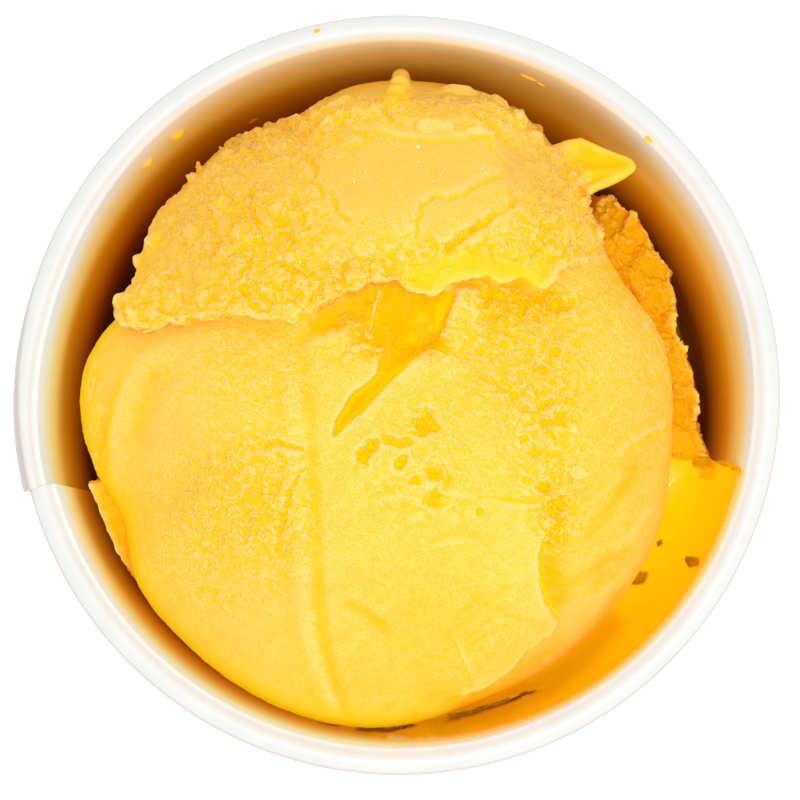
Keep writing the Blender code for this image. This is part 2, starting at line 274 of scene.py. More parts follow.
def smoothed(piece: Piece, values: Array, rounds: int) -> Array:
    """Average each vertex's values with its neighbours' a number of times.

    Args:
        piece: The piece.
        values: One number or one row of numbers for each vertex.
        rounds: How many times.

    Returns:
        The averaged values.
    """
    edges = np.empty(len(piece.data.edges) * 2, np.int32)
    piece.data.edges.foreach_get("vertices", edges)
    one, other = edges.reshape(-1, 2).T
    count = len(values)
    links = np.bincount(one, minlength=count) + np.bincount(other, minlength=count)
    links = np.maximum(links, 1)
    columns = values.reshape(count, -1).copy()
    for _ in range(rounds):
        for column in range(columns.shape[1]):
            old = columns[:, column]
            total = np.bincount(one, old[other], count) + np.bincount(other, old[one], count)
            columns[:, column] = 0.5 * old + 0.5 * total / links
    return columns.reshape(values.shape)


def crest_height(piece: Piece, rounds: int) -> Array:
    """How far each vertex stands proud of its smoothed surroundings, in millimetres."""
    points = read_points(piece)
    return np.einsum("ij,ij->i", points - smoothed(piece, points, rounds), read_normals(piece))


def deselect() -> None:
    """Leave nothing selected, so that an operator acts on the new piece alone."""
    for item in bpy.context.view_layer.objects:
        item.select_set(False)


def use(piece: Piece) -> None:
    """Select one piece alone and make it the active one.

    Args:
        piece: The piece.
    """
    deselect()
    piece.select_set(True)
    bpy.context.view_layer.objects.active = piece


def settle(piece: Piece) -> None:
    """Apply a piece's place, turn and scale, so that its object sits at the origin."""
    use(piece)
    bpy.ops.object.transform_apply(location=True, rotation=True, scale=True)


def apply_modifier(piece: Piece, kind: str, **settings: Any) -> None:
    """Add a modifier and apply it.

    Args:
        piece: The piece.
        kind: The modifier's type.
        settings: Its properties by name.
    """
    use(piece)
    modifier = piece.modifiers.new(kind.lower(), kind)
    for name, value in settings.items():
        setattr(modifier, name, value)
    bpy.ops.object.modifier_apply(modifier=modifier.name)


def fuse(piece: Piece, others: Sequence[Piece]) -> None:
    """Join other pieces into one object with the first.

    Args:
        piece: The first piece.
        others: The others.
    """
    use(piece)
    for other in others:
        other.select_set(True)
    bpy.ops.object.join()


def remesh(piece: Piece, voxel: float) -> None:
    """Rebuild a piece as one closed skin of even faces, a voxel wide each."""
    apply_modifier(piece, "REMESH", mode="VOXEL", voxel_size=voxel * METRES)


def thin_out(piece: Piece, triangles: int) -> None:
    """Reduce a piece's triangles, keeping most where the relief is sharpest.

    Args:
        piece: The piece.
        triangles: How many it may keep.
    """
    now = sum(len(face.vertices) - 2 for face in piece.data.polygons)
    if now > triangles:
        apply_modifier(piece, "DECIMATE", ratio=triangles / now)


def shade(piece: Piece, angle: float = 40.0) -> None:
    """Shade a piece smooth, apart from edges sharper than an angle in degrees."""
    use(piece)
    bpy.ops.object.shade_smooth_by_angle(angle=math.radians(angle))


def new_ball(name: str, place: Array, radii: Array, turn: Vector | None = None, rings: int = 24) -> Piece:
    """A ball squeezed to three radii, as the start of a drop, nub or crumb.

    Args:
        name: The object's name.
        place: Its middle, in millimetres.
        radii: Its three radii, in millimetres.
        turn: The way its own +Z points, or None for straight up.
        rings: How many rings it has.

    Returns:
        The new object.
    """
    deselect()
    bpy.ops.mesh.primitive_uv_sphere_add(segments=rings * 2, ring_count=rings, radius=1.0)
    ball = bpy.context.object
    ball.name = name
    ball.scale = Vector(radii) * METRES
    ball.location = Vector(place) * METRES
    if turn is not None:
        ball.rotation_euler = turn.to_track_quat("Z", "Y").to_euler()
    settle(ball)
    return ball


def laid_flat(ball: Piece, normal: Array, turn: float) -> Array:
    """The vertices of a flat ball at the origin, laid on a surface.

    Args:
        ball: The ball.
        normal: The way that the surface faces, one long.
        turn: The turn of the ball's own +X on the surface, in degrees.

    Returns:
        The points.
    """
    lean = np.array(Vector((0.0, 0.0, 1.0)).rotation_difference(Vector(normal)).to_matrix())
    cos, sin = math.cos(math.radians(turn)), math.sin(math.radians(turn))
    spin = np.array([[cos, -sin, 0.0], [sin, cos, 0.0], [0.0, 0.0, 1.0]])
    return read_points(ball) @ (lean @ spin).T


# --- Small tools for materials ---


def paint(red: float, green: float, blue: float) -> tuple[float, float, float, float]:
    """A colour given as it looks on screen.

    Args:
        red: From 0 to 255.
        green: From 0 to 255.
        blue: From 0 to 255.

    Returns:
        The shader's linear numbers.
    """
    shares = [value / 255.0 for value in (red, green, blue)]
    linear = [s / 12.92 if s <= 0.04045 else ((s + 0.055) / 1.055) ** 2.4 for s in shares]
    return (linear[0], linear[1], linear[2], 1.0)


BLACK = paint(0, 0, 0)
PAPER_WHITE = paint(222, 222, 220)


class Flow:
    """A number that runs through a material, with the arithmetic that adds its Math nodes."""

    def __init__(self, board: "Board", socket: Socket) -> None:
        """Wrap one output socket of a board's node."""
        self.board = board
        self.socket = socket

    def _math(self, operation: str, *values: Any) -> "Flow":
        """Add one Math node that works on the values in order."""
        node = self.board.node("ShaderNodeMath", {"operation": operation}, dict(enumerate(values)))
        return Flow(self.board, node.outputs[0])

    def __add__(self, other: Any) -> "Flow":
        """This plus other."""
        return self._math("ADD", self, other)

    def __radd__(self, other: Any) -> "Flow":
        """Other plus this."""
        return self._math("ADD", other, self)

    def __sub__(self, other: Any) -> "Flow":
        """This less other."""
        return self._math("SUBTRACT", self, other)

    def __rsub__(self, other: Any) -> "Flow":
        """Other less this."""
        return self._math("SUBTRACT", other, self)

    def __mul__(self, other: Any) -> "Flow":
        """This times other."""
        return self._math("MULTIPLY", self, other)

    def __rmul__(self, other: Any) -> "Flow":
        """Other times this."""
        return self._math("MULTIPLY", other, self)

    def __truediv__(self, other: Any) -> "Flow":
        """This over other."""
        return self._math("DIVIDE", self, other)

    def __rtruediv__(self, other: Any) -> "Flow":
        """Other over this."""
        return self._math("DIVIDE", other, self)

    def limited(self) -> "Flow":
        """This, kept from 0 to 1."""
        return Flow(self.board, self.board.node("ShaderNodeClamp", {}, {"Value": self}).outputs[0])

    def rise(self, low: float, high: float) -> "Flow":
        """A smooth step.

        Args:
            low: Where it is 0.
            high: Where it is 1.

        Returns:
            The step.
        """
        inputs = {"Value": self, "From Min": low, "From Max": high}
        node = self.board.node("ShaderNodeMapRange", {"interpolation_type": "SMOOTHSTEP"}, inputs)
        return Flow(self.board, node.outputs["Result"])


class Board:
    """One material and the nodes that are put on it."""

    def __init__(self, name: str) -> None:
        """Start a material with an empty Principled shader.

        Args:
            name: The material's name.
        """
        self.material = bpy.data.materials.new(name)
        self.material.use_nodes = True
        self.material.cycles.emission_sampling = "NONE"
        self.tree = self.material.node_tree
        self.shader = self.tree.nodes["Principled BSDF"]

    def node(self, kind: str, settings: dict[str, Any], inputs: dict[Any, Any]) -> bpy.types.Node:
        """Add a node.

        Args:
            kind: The node's type.
            settings: Its properties, set first. A ramp takes "stops", a list of (place, colour).
            inputs: What each socket gets, a constant, a Flow or another node's socket.

        Returns:
            The new node.
        """
        node = self.tree.nodes.new(kind)
        for name, value in settings.items():
            if name == "stops":
                self._set_stops(node.color_ramp, value)
            else:
                setattr(node, name, value)
        for name, value in inputs.items():
            self.feed(node.inputs[name], value)
        return node

    @staticmethod
    def _set_stops(ramp: bpy.types.ColorRamp, stops: Sequence[tuple[float, Any]]) -> None:
        """Give a colour ramp its stops.

        Args:
            ramp: The ramp.
            stops: A place from 0 to 1 and a colour for each.
        """
        while len(ramp.elements) < len(stops):
            ramp.elements.new(1.0)
        while len(ramp.elements) > len(stops):
            ramp.elements.remove(ramp.elements[-1])
        for element, (place, colour) in zip(ramp.elements, stops):
            element.position = place
            element.color = colour

    def feed(self, socket: Socket, value: Any) -> None:
        """Link or set a socket.

        Args:
            socket: The input socket.
            value: A Flow or another node's socket to link, or a constant.
        """
        if isinstance(value, Flow):
            value = value.socket
        if isinstance(value, Socket):
            self.tree.links.new(value, socket)
        else:
            socket.default_value = value

    def place(self) -> Socket:
        """The point of the surface, in the object's own metres."""
        return self.node("ShaderNodeTexCoord", {}, {}).outputs["Object"]

    def attribute(self, name: str) -> Flow:
        """A number stored on the mesh's vertices."""
        node = self.node("ShaderNodeAttribute", {"attribute_name": name}, {})
        return Flow(self, node.outputs["Fac"])

    def clouds(self, length: float, detail: float = 3.0) -> Flow:
        """Uneven patches.

        Args:
            length: About how wide a patch is, in millimetres.
            detail: How many finer layers of patches lie over it.

        Returns:
            The noise, from 0 to 1.
        """
        inputs = {"Vector": self.place(), "Scale": 1.0 / (length * METRES), "Detail": detail}
        node = self.node("ShaderNodeTexNoise", {}, {**inputs, "Roughness": 0.6})
        return Flow(self, node.outputs["Fac"])

    def vectors(self, operation: str, inputs: dict[Any, Any]) -> Socket:
        """Add one Vector Math node."""
        return self.node("ShaderNodeVectorMath", {"operation": operation}, inputs).outputs[0]

    def cells(self, length: float, bend: float) -> Flow:
        """Loose crumbs.

        Args:
            length: Their width in millimetres.
            bend: How far they depart from round, as a share of that.

        Returns:
            1 on top of each and 0 between them.
        """
        place = self.place()
        noise_inputs = {"Vector": place, "Scale": 1.0 / (1.6 * length * METRES), "Detail": 1.0}
        wander = self.node("ShaderNodeTexNoise", {}, noise_inputs).outputs["Color"]
        off = self.vectors("SUBTRACT", {0: wander, 1: (0.5, 0.5, 0.5)})
        off = self.vectors("SCALE", {0: off, "Scale": 2.0 * bend * length * METRES})
        moved = self.vectors("ADD", {0: place, 1: off})
        found = self.node("ShaderNodeTexVoronoi", {}, {"Vector": moved, "Scale": 1.0 / (length * METRES)})
        chance = self.node("ShaderNodeSeparateColor", {}, {0: found.outputs["Color"]}).outputs[0]
        there = Flow(self, chance).rise(0.3, 0.5)
        return (1.0 - 1.3 * Flow(self, found.outputs["Distance"])).limited() * there

    def blend(self, share: Any, one: Any, other: Any, mode: str = "MIX") -> Socket:
        """Mix two colours."""
        settings = {"data_type": "RGBA", "blend_type": mode}
        return self.node("ShaderNodeMix", settings, {0: share, 6: one, 7: other}).outputs[2]

    def bump(self, height: Any, depth: float, strength: float = 1.0) -> Socket:
        """A bumped normal from a height of 0 to 1 that stands for a depth in millimetres."""
        inputs = {"Height": height, "Distance": depth * METRES, "Strength": strength}
        return self.node("ShaderNodeBump", {}, inputs).outputs["Normal"]

    def finish(self, **sockets: Any) -> bpy.types.Material:
        """Set the shader's sockets.

        Args:
            sockets: What each gets, named with _ for a space.

        Returns:
            The finished material.
        """
        for name, value in sockets.items():
            self.feed(self.shader.inputs[name.replace("_", " ")], value)
        return self.material


def dress(piece: Piece, material: bpy.types.Material) -> None:
    """Give a piece one material and no other."""
    piece.data.materials.clear()
    piece.data.materials.append(material)


# --- Where things are ---


@dataclass(frozen=True)
class PhotoView:
    """The photograph's viewpoint, which looks down into the cup from a little to the front."""

    tilt: float = 5.0
    distance: float = 400.0
    aim_height: float = 49.3
    lens: float = 181.0
    sensor: float = 36.0
    frame_px: float = 800.0
    middle_px: tuple[float, float] = (398.9, 391.7)

    @property
    def scale(self) -> float:
        """How many millimetres a pixel shows at the height that the camera aims at."""
        return self.distance * self.sensor / self.lens / self.frame_px

    @property
    def forward(self) -> Array:
        """The way the camera looks."""
        turn = math.radians(self.tilt)
        return np.array([0.0, math.sin(turn), -math.cos(turn)])

    @property
    def upward(self) -> Array:
        """The way that is up in the picture."""
        turn = math.radians(self.tilt)
        return np.array([0.0, math.cos(turn), math.sin(turn)])

    @property
    def eye(self) -> Array:
        """Where the camera stands."""
        return np.array([0.0, 0.0, self.aim_height]) - self.forward * self.distance

    def ray(self, x_px: float, y_px: float) -> Array:
        """The direction in which a pixel looks.

        Args:
            x_px: The pixel across.
            y_px: The pixel down.

        Returns:
            The direction, one long.
        """
        per_pixel = self.sensor / self.lens / self.frame_px
        across = (x_px - self.middle_px[0]) * per_pixel
        along = (self.middle_px[1] - y_px) * per_pixel
        way = self.forward + np.array([across, 0.0, 0.0]) + self.upward * along
        return way / np.linalg.norm(way)

    def on_level(self, x_px: float, y_px: float, height: float) -> Array:
        """The point at a height that a pixel shows."""
        way = self.ray(x_px, y_px)
        return self.eye + way * (height - self.eye[2]) / way[2]

    def route(self, pixels: Pixels, height: float) -> Array:
        """The plan points at a height that a row of pixels shows."""
        return np.array([self.on_level(x_px, y_px, height)[:2] for x_px, y_px in pixels])

    def on_ball(self, x_px: float, y_px: float, centre: Array, radii: Array) -> Array:
        """The point of an upright ellipsoid that a pixel shows.

        Args:
            x_px: The pixel across.
            y_px: The pixel down.
            centre: The ellipsoid's middle.
            radii: Its three radii.

        Returns:
            The point, or the nearest one that the pixel grazes.
        """
        way = self.ray(x_px, y_px)
        start = (self.eye - centre) / radii
        step = way / radii
        square = step @ step
        half = start @ step
        inside = half * half - square * (start @ start - 1.0)
        return self.eye + way * (-half - math.sqrt(max(inside, 0.0))) / square

    def make_camera(self) -> None:
        """Put the camera at this viewpoint and make it the scene's."""
        data = bpy.data.cameras.new("photo_view")
        data.lens = self.lens
        data.sensor_width = self.sensor
        data.shift_x = 0.5 - self.middle_px[0] / self.frame_px
        data.shift_y = self.middle_px[1] / self.frame_px - 0.5
        data.clip_start = 0.01
        camera = bpy.data.objects.new("photo_view", data)
        camera.location = Vector(self.eye) * METRES
        camera.rotation_euler = (math.radians(self.tilt), 0.0, 0.0)
        bpy.context.scene.collection.objects.link(camera)
        bpy.context.scene.camera = camera


VIEW = PhotoView()


@dataclass(frozen=True)
class CupShape:
    """The paper cup's sizes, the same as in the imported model."""

    height: float = 50.0
    rim_diameter: float = 76.0
    foot_diameter: float = 62.0
    paper: float = 0.45
    roll_radius: float = 1.35
    roll_turn: float = 300.0
    fit_gap: float = 0.3
    skirt_paper: float = 0.4
    hem_height: float = 4.8
    floor_top: float = 5.6

    def outside(self, height: Any) -> Any:
        """How wide the sleeve is.

        Args:
            height: The height.

        Returns:
            The radius of its outer face there.
        """
        top = self.rim_diameter / 2.0 - 2.0 * self.roll_radius + self.paper
        foot = self.foot_diameter / 2.0
        return foot + (top - foot) * height / (self.height - self.roll_radius)

    def inside(self, height: Any) -> Any:
        """The radius of the sleeve's inner face at a height."""
        return self.outside(height) - self.paper

    def on_wall(self, x_px: float, y_px: float) -> Array:
        """The point of the inner wall that a pixel shows.

        Args:
            x_px: The pixel across.
            y_px: The pixel down.

        Returns:
            The point.
        """
        heights = np.linspace(10.0, self.height, 801)
        points = np.array([VIEW.on_level(x_px, y_px, height) for height in heights])
        beyond = np.hypot(points[:, 0], points[:, 1]) - self.inside(heights)
        return points[int(np.argmin(np.abs(beyond)))]


CUP = CupShape()


# --- Finishes ---


@dataclass(frozen=True)
class IceCreamFinish:
    """Mango ice cream: frosty, with a painted highlight where it stands proud and painted deep yellow shade
    in its hollows.

    The sizes of crumbs, grain, patches and mottling are widths in millimetres, and relief is the
    depth of the finest bumps.
    """

    name: str = "mango_ice_cream"
    body: tuple = paint(255, 198, 48)
    # Painted highlight: the pale colour of crests and crumb tops.
    crest: tuple = paint(255, 216, 128)
    # Painted shade: the deep yellow of hollows and crevices.
    deep: tuple = paint(255, 182, 0)
    # Painted edge light on the scoop's steep sides; on the melted mass, the yellow where the melt thins at
    # the wall.
    edge: tuple = paint(255, 210, 10)
    # Tan frost, which also paints shade on the top and the right-hand slopes.
    frost: tuple = paint(236, 184, 88)
    melt: tuple = paint(255, 206, 0)
    film: tuple = paint(255, 240, 200)
    # Painted glow: an emission colour in clefts and on steep sides, standing for light through the ice cream.
    glow: tuple = paint(150, 130, 0)
    # Painted shade: the brown of holes, slots, low parts and crevices.
    inside: tuple = paint(200, 136, 0)
    # Painted glints: a white colour for sparkles on frosty crumbs.
    painted_sparkle: tuple = paint(255, 236, 196)
    crumb: float = 0.42
    grain: float = 0.16
    patch: float = 3.0
    mottling: float = 1.0
    speckle: float = 2.2
    relief: float = 0.25
    dry_roughness: float = 0.62
    gloss: float = 0.25

    def make(self) -> bpy.types.Material:
        """Build the material.

        Returns:
            The material, which reads attributes for the painted highlight, the painted shade in hollows,
            holes and low parts, the painted glow, the painted edge light, frost with painted shade, the
            crumbs, wetness and the thin film.
        """
        board = Board(self.name)
        wet = board.attribute("wet")
        hollow = board.attribute("hollow")
        frost = board.attribute("frost")
        fleck = board.attribute("fleck")
        patches = board.clouds(self.patch, 2.0)
        mottling = board.clouds(self.mottling, 2.0)
        fine = board.clouds(self.grain, 1.0)
        crumb = board.cells(self.crumb, 0.6)
        # Painted highlight, pale on crests and crumb tops, with a random grain over it.
        crest = board.attribute("crest") + 1.3 * fleck * (crumb - 0.25) + (fine - 0.5) * self.speckle
        colour = board.blend(crest.limited(), self.body, self.crest)
        # Painted shade between the crumbs, with patches of random tone.
        crumb_shade_and_tone = fleck * (0.5 - 1.2 * crumb) + (patches - 0.55) * 0.8 + (mottling - 0.5) * 0.35
        # Painted edge light on steep sides, and the melt's yellow where it thins at the wall.
        colour = board.blend(board.attribute("edge"), colour, self.edge)
        # Painted shade: deep yellow in hollows and between crumbs.
        deep = (hollow + crumb_shade_and_tone).limited()
        colour = board.blend(deep, colour, self.deep)
        # Frost, which also stands for shade on the top and the right-hand slopes.
        frosted_and_shaded = (frost * (0.45 + 0.9 * patches) * (1.0 - 0.6 * hollow)).limited()
        colour = board.blend(frosted_and_shaded, colour, self.frost)
        # Painted glints on the frosty and flecked crumbs.
        glint = crumb.rise(0.75, 0.95) * fine.rise(0.5, 0.65) * (0.3 * frost + 0.6 * fleck)
        colour = board.blend((glint * (1.0 - wet)).limited(), colour, self.painted_sparkle)
        colour = board.blend(wet * 0.85, colour, self.melt)
        colour = board.blend(board.attribute("film"), colour, self.film)
        # Painted shade: brown in holes, slots, low parts and crevices.
        pit = board.attribute("pit")
        colour = board.blend(pit, colour, self.inside)
        height = (0.1 + fleck) * crumb + 0.3 * fine
        # Painted glow: emission in clefts and on steep sides, kept off painted shade and wet melt.
        cleft = board.attribute("cleft") * (1.0 - pit) * (1.0 - 0.7 * wet)
        glow = board.blend(cleft.limited(), BLACK, self.glow)
        return board.finish(
            Base_Color=colour,
            Roughness=(self.dry_roughness + 0.1 * patches - 0.35 * wet).limited(),
            Normal=board.bump(height * (1.0 - 0.9 * wet), self.relief, 0.9),
            Specular_IOR_Level=0.0,
            Emission_Color=glow,
            Emission_Strength=1.0,
            Coat_Weight=wet * self.gloss,
            Coat_Roughness=0.12,
        )


@dataclass(frozen=True)
class PaperFinish:
    """Food-grade paper: white fibre under a thin satin coat.

    The stops colour the inner side of the sleeve by height in millimetres with painted shade and painted
    bounce light from the ice cream, deeper and deeper mango yellow towards the bottom. The glow is a painted
    glow, an emission by height that stands for daylight coming through the thin paper from outside.
    """

    name: str
    stops: tuple
    glow: tuple
    roughness: float
    coat: float = 0.0
    # A smear of melt, which also paints the yellow bounce light on the wall above the skirt.
    smear: tuple = paint(255, 226, 110)
    # Painted shade on the outer side of the rim roll.
    rim: tuple = paint(196, 184, 178)
    shaded: tuple = paint(222, 218, 206)

    def ramp(self, board: Board, share: Flow, stops: tuple) -> Socket:
        """A colour that changes with height."""
        places = [(place / CUP.height, colour) for place, colour in stops]
        return board.node("ShaderNodeValToRGB", {"stops": places}, {"Fac": share}).outputs["Color"]

    def make(self) -> bpy.types.Material:
        """Build the material.

        Returns:
            The material, which reads attributes for the inner side, the lift of the painted deeper colours,
            the painted glow, the painted shade on the north side, the smear with its painted bounce light,
            and the painted shade on the rim's outer side.
        """
        board = Board(self.name)
        fibre = board.clouds(0.25, 4.0)
        mottle = board.clouds(4.0, 3.0)
        inner = board.attribute("inner")
        smear = board.attribute("smear")
        height = Flow(board, board.node("ShaderNodeSeparateXYZ", {}, {0: board.place()}).outputs["Z"])
        share = height / (CUP.height * METRES) + (mottle - 0.5) * 0.012
        lifted = share - board.attribute("lift") / CUP.height
        # Painted shade and painted bounce light by height on the inner side, shifted by the lift.
        colour = board.blend(inner, PAPER_WHITE, self.ramp(board, lifted, self.stops))
        # The smear, which also paints yellow bounce light.
        colour = board.blend(smear, colour, self.smear)
        colour = board.blend(board.attribute("shaded"), colour, self.shaded, "MULTIPLY")
        # Painted shade on the rim roll's outer side.
        colour = board.blend(board.attribute("rim"), colour, self.rim)
        colour = board.blend(mottle.rise(0.3, 0.8) * 0.2, colour, paint(236, 232, 224), "MULTIPLY")
        # Painted glow: an emission by height that stands for daylight through the paper.
        glow = board.blend(inner * board.attribute("lit"), BLACK, self.ramp(board, share, self.glow))
        glow = board.blend(smear, glow, self.smear, "MULTIPLY")
        return board.finish(
            Base_Color=colour,
            Roughness=(self.roughness + 0.15 * fibre - 0.07).limited(),
            Normal=board.bump(fibre, 0.02, 0.5),
            Emission_Color=glow,
            Emission_Strength=1.0,
            Coat_Weight=self.coat,
            Coat_Roughness=0.25,
        )


class Finish(Enum):
    """The finishes of the cup and what is in it."""

    ICE_CREAM = IceCreamFinish()
    SLEEVE = PaperFinish(
        "coated_sleeve_paper",
        # Painted shade and painted bounce light by height.
        (
            (0.0, paint(160, 74, 0)),
            (24.0, paint(228, 134, 0)),
            (31.0, paint(242, 172, 0)),
            (37.0, paint(244, 194, 52)),
            (42.0, paint(244, 222, 164)),
            (45.0, paint(236, 236, 236)),
            (47.5, paint(232, 236, 242)),
        ),
        # The painted glow by height.
        (
            (0.0, BLACK),
            (22.0, paint(30, 12, 0)),
            (28.0, paint(104, 60, 0)),
            (35.0, paint(126, 92, 12)),
            (40.0, paint(116, 124, 70)),
            (43.5, paint(106, 134, 108)),
            (46.0, paint(92, 142, 150)),
            (48.0, paint(90, 136, 172)),
        ),
        0.42,
        0.15,
    )
    DISC = PaperFinish("plain_disc_paper", ((0.0, PAPER_WHITE),), ((0.0, BLACK),), 0.6)


# --- The paper cup ---


@dataclass
class PaperCup:
    """The sleeve, wound from one blank of paper with a lapped seam, and the disc in its foot.

    The lit and lifts rows go round the wall with lit_angle, counted in degrees from the shaded side: how
    strong the painted glow that stands for daylight through the paper is above and below the lit band, and
    how far up the painted deeper colours reach.
    """

    steps: int = 360
    seam_angle: float = 195.0
    seam_step: float = 0.6
    lap_thickness: float = 0.3
    seam_reach: float = 40.0
    seam_start: float = 18.0
    wall_rows: int = 40
    shade_angle: float = 80.0
    lit_angle: tuple = (0.0, 45.0, 75.0, 100.0, 140.0, 180.0, 250.0, 280.0, 315.0, 340.0, 360.0)
    lit_share: tuple = (0.22, 0.35, 0.85, 1.3, 0.95, 0.85, 0.8, 0.8, 0.65, 0.3, 0.22)
    lit_low: tuple = (0.1, 0.05, 0.0, 0.25, 0.85, 0.9, 1.4, 2.0, 1.6, 0.6, 0.1)
    lifts: tuple = (7.5, 6.0, 2.5, -1.5, 0.5, 0.0, 0.5, 1.5, 1.5, 7.0, 7.5)
    lit_band: tuple = (36.0, 41.0)
    shade_spread: float = 38.0
    smear_and_bounce_reach: float = 1.5

    def turned(self, name: str, section: Sequence[tuple[float, float]]) -> Piece:
        """Spin a closed section round the cup's axis, starting and ending at the seam.

        Args:
            name: The object's name.
            section: Its corners, as (radius, height).

        Returns:
            The swept piece, with its two ends together but not joined.
        """
        deselect()
        bpy.ops.mesh.primitive_circle_add(vertices=len(section), radius=METRES)
        ring = bpy.context.object
        ring.name = name
        turn = math.radians(self.seam_angle)
        write_points(ring, np.array([(r * math.cos(turn), r * math.sin(turn), z) for r, z in section]))
        bpy.ops.object.mode_set(mode="EDIT")
        bpy.ops.mesh.select_all(action="SELECT")
        about = {"center": (0.0, 0.0, 0.0), "axis": (0.0, 0.0, 1.0)}
        bpy.ops.mesh.spin(steps=self.steps, angle=2.0 * math.pi, use_auto_merge=False, **about)
        bpy.ops.object.mode_set(mode="OBJECT")
        return ring

    def join_ends(self, ring: Piece, count: int) -> None:
        """Bridge a swept piece's first and last sections, and face its skin outwards.

        Args:
            ring: The swept piece.
            count: How many corners its section has.
        """
        last = count * self.steps
        for edge in ring.data.edges:
            one, other = edge.vertices
            edge.select = (one < count and other < count) or (one >= last and other >= last)
        bpy.ops.object.mode_set(mode="EDIT")
        bpy.ops.mesh.select_mode(type="EDGE")
        bpy.ops.mesh.bridge_edge_loops()
        bpy.ops.mesh.select_all(action="SELECT")
        bpy.ops.mesh.normals_make_consistent(inside=False)
        bpy.ops.object.mode_set(mode="OBJECT")

    @staticmethod
    def arc(radius: float, start: float, end: float, steps: int) -> list[tuple[float, float]]:
        """An arc round the rim roll's middle.

        Args:
            radius: Its radius.
            start: Where it starts, in degrees.
            end: Where it ends.
            steps: How many parts it has.

        Returns:
            Its corners, as (radius, height).
        """
        middle_r = CUP.rim_diameter / 2.0 - CUP.roll_radius
        middle_z = CUP.height - CUP.roll_radius
        turns = np.radians(np.linspace(start, end, steps + 1))
        return [(middle_r + radius * math.cos(t), middle_z + radius * math.sin(t)) for t in turns]

    def sleeve_section(self) -> list[tuple[float, float]]:
        """The sleeve in section: the rolled rim, the wall, and the folded foot.

        Returns:
            Its corners, as (radius, height).
        """
        end = 180.0 - CUP.roll_turn
        roll_outside = self.arc(CUP.roll_radius, 180.0, end, 30)
        roll_inside = self.arc(CUP.roll_radius - CUP.paper, end, 180.0, 22)
        rows = np.linspace(CUP.height - CUP.roll_radius, 0.0, self.wall_rows)[1:]
        outside = [(CUP.outside(z), z) for z in rows]
        channel = 2.0 * CUP.fit_gap + CUP.skirt_paper
        fold = [
            (CUP.inside(0.0) - channel - CUP.paper, 0.0),
            (CUP.inside(CUP.hem_height) - channel - CUP.paper, CUP.hem_height),
            (CUP.inside(CUP.hem_height) - channel, CUP.hem_height),
            (CUP.inside(CUP.paper) - channel, CUP.paper),
        ]
        rows = np.linspace(CUP.paper, CUP.height - CUP.roll_radius, self.wall_rows)[:-1]
        return roll_outside + roll_inside + outside + fold + [(CUP.inside(z), z) for z in rows]

    def disc_section(self) -> list[tuple[float, float]]:
        """The disc in section: a flat floor whose edge turns down into the foot.

        Returns:
            Its corners, as (radius, height).
        """
        foot = CUP.paper + CUP.fit_gap
        under = CUP.floor_top - CUP.paper
        return [
            (0.01, CUP.floor_top),
            (CUP.inside(CUP.floor_top) - CUP.fit_gap - 1.0, CUP.floor_top),
            (CUP.inside(CUP.floor_top) - CUP.fit_gap - 0.2, CUP.floor_top - 0.12),
            (CUP.inside(CUP.floor_top) - CUP.fit_gap, CUP.floor_top - 0.6),
            (CUP.inside(foot) - CUP.fit_gap, foot),
            (CUP.inside(foot) - CUP.fit_gap - CUP.skirt_paper, foot),
            (CUP.inside(under) - CUP.fit_gap - CUP.skirt_paper, under),
            (0.01, under),
        ]

    def shift_seam(self, sleeve: Piece, count: int) -> None:
        """Stand the lapped paper out on the seam's north side, less farther from it.

        Args:
            sleeve: The swept sleeve.
            count: How many corners its section has.
        """
        points = read_points(sleeve)
        step = np.arange(len(points)) // count
        angle = np.degrees(np.arctan2(points[:, 1], points[:, 0]))
        before = (self.seam_angle - angle + 0.01) % 360.0
        first, last = (0, self.steps) if before[count] > 180.0 else (self.steps, 0)
        before = np.where(step == first, 360.0, before)
        before = np.where(step == last, 0.0, before)
        away = np.hypot(points[:, 0], points[:, 1])
        lap = 1.0 - ease(before, 0.0, self.seam_reach)
        out = self.seam_step * lap * ease(points[:, 2], CUP.hem_height, self.seam_start)
        thick = self.lap_thickness * lap * ease(points[:, 2], 30.0, 44.0)
        middle = CUP.rim_diameter / 2.0 - CUP.roll_radius
        out += thick * ease(middle - away, -0.4, 0.6)
        points[:, 0] *= 1.0 + out / away
        points[:, 1] *= 1.0 + out / away
        write_points(sleeve, points)

    def colour_in(self, sleeve: Piece, section: Sequence[tuple[float, float]]) -> None:
        """Store which side faces inwards, how it is lit with painted glow and painted shade, and its smears
        with their painted bounce light.

        Args:
            sleeve: The swept sleeve.
            section: Its section's corners.
        """
        radius, height = np.array(section).T
        inner = ease(CUP.outside(height) - radius, 0.1, 0.35) * (height > CUP.floor_top)
        middle = CUP.rim_diameter / 2.0 - CUP.roll_radius
        top = height > CUP.height - CUP.roll_radius
        inner = np.tile(np.where(top, ease(middle - radius, 0.7, 1.3), inner), self.steps + 1)
        points = read_points(sleeve)
        angle = np.degrees(np.arctan2(points[:, 1], points[:, 0]))
        from_shade = (angle - self.shade_angle) % 360.0
        write_attribute(sleeve, "inner", inner)
        # By direction round the wall: how far up the painted deeper colours reach and how strong the painted
        # glow is.
        write_attribute(sleeve, "lift", np.interp(from_shade, self.lit_angle, self.lifts))
        lit = np.interp(from_shade, self.lit_angle, self.lit_share)
        low = np.interp(from_shade, self.lit_angle, self.lit_low)
        write_attribute(sleeve, "lit", low + (lit - low) * ease(points[:, 2], *self.lit_band))
        # Painted shade on the north side of the inner wall.
        shaded = bell((from_shade + 180.0) % 360.0 - 180.0, self.shade_spread)
        write_attribute(sleeve, "shaded", shaded * inner * (1.0 - ease(points[:, 2], 45.0, 49.0)))
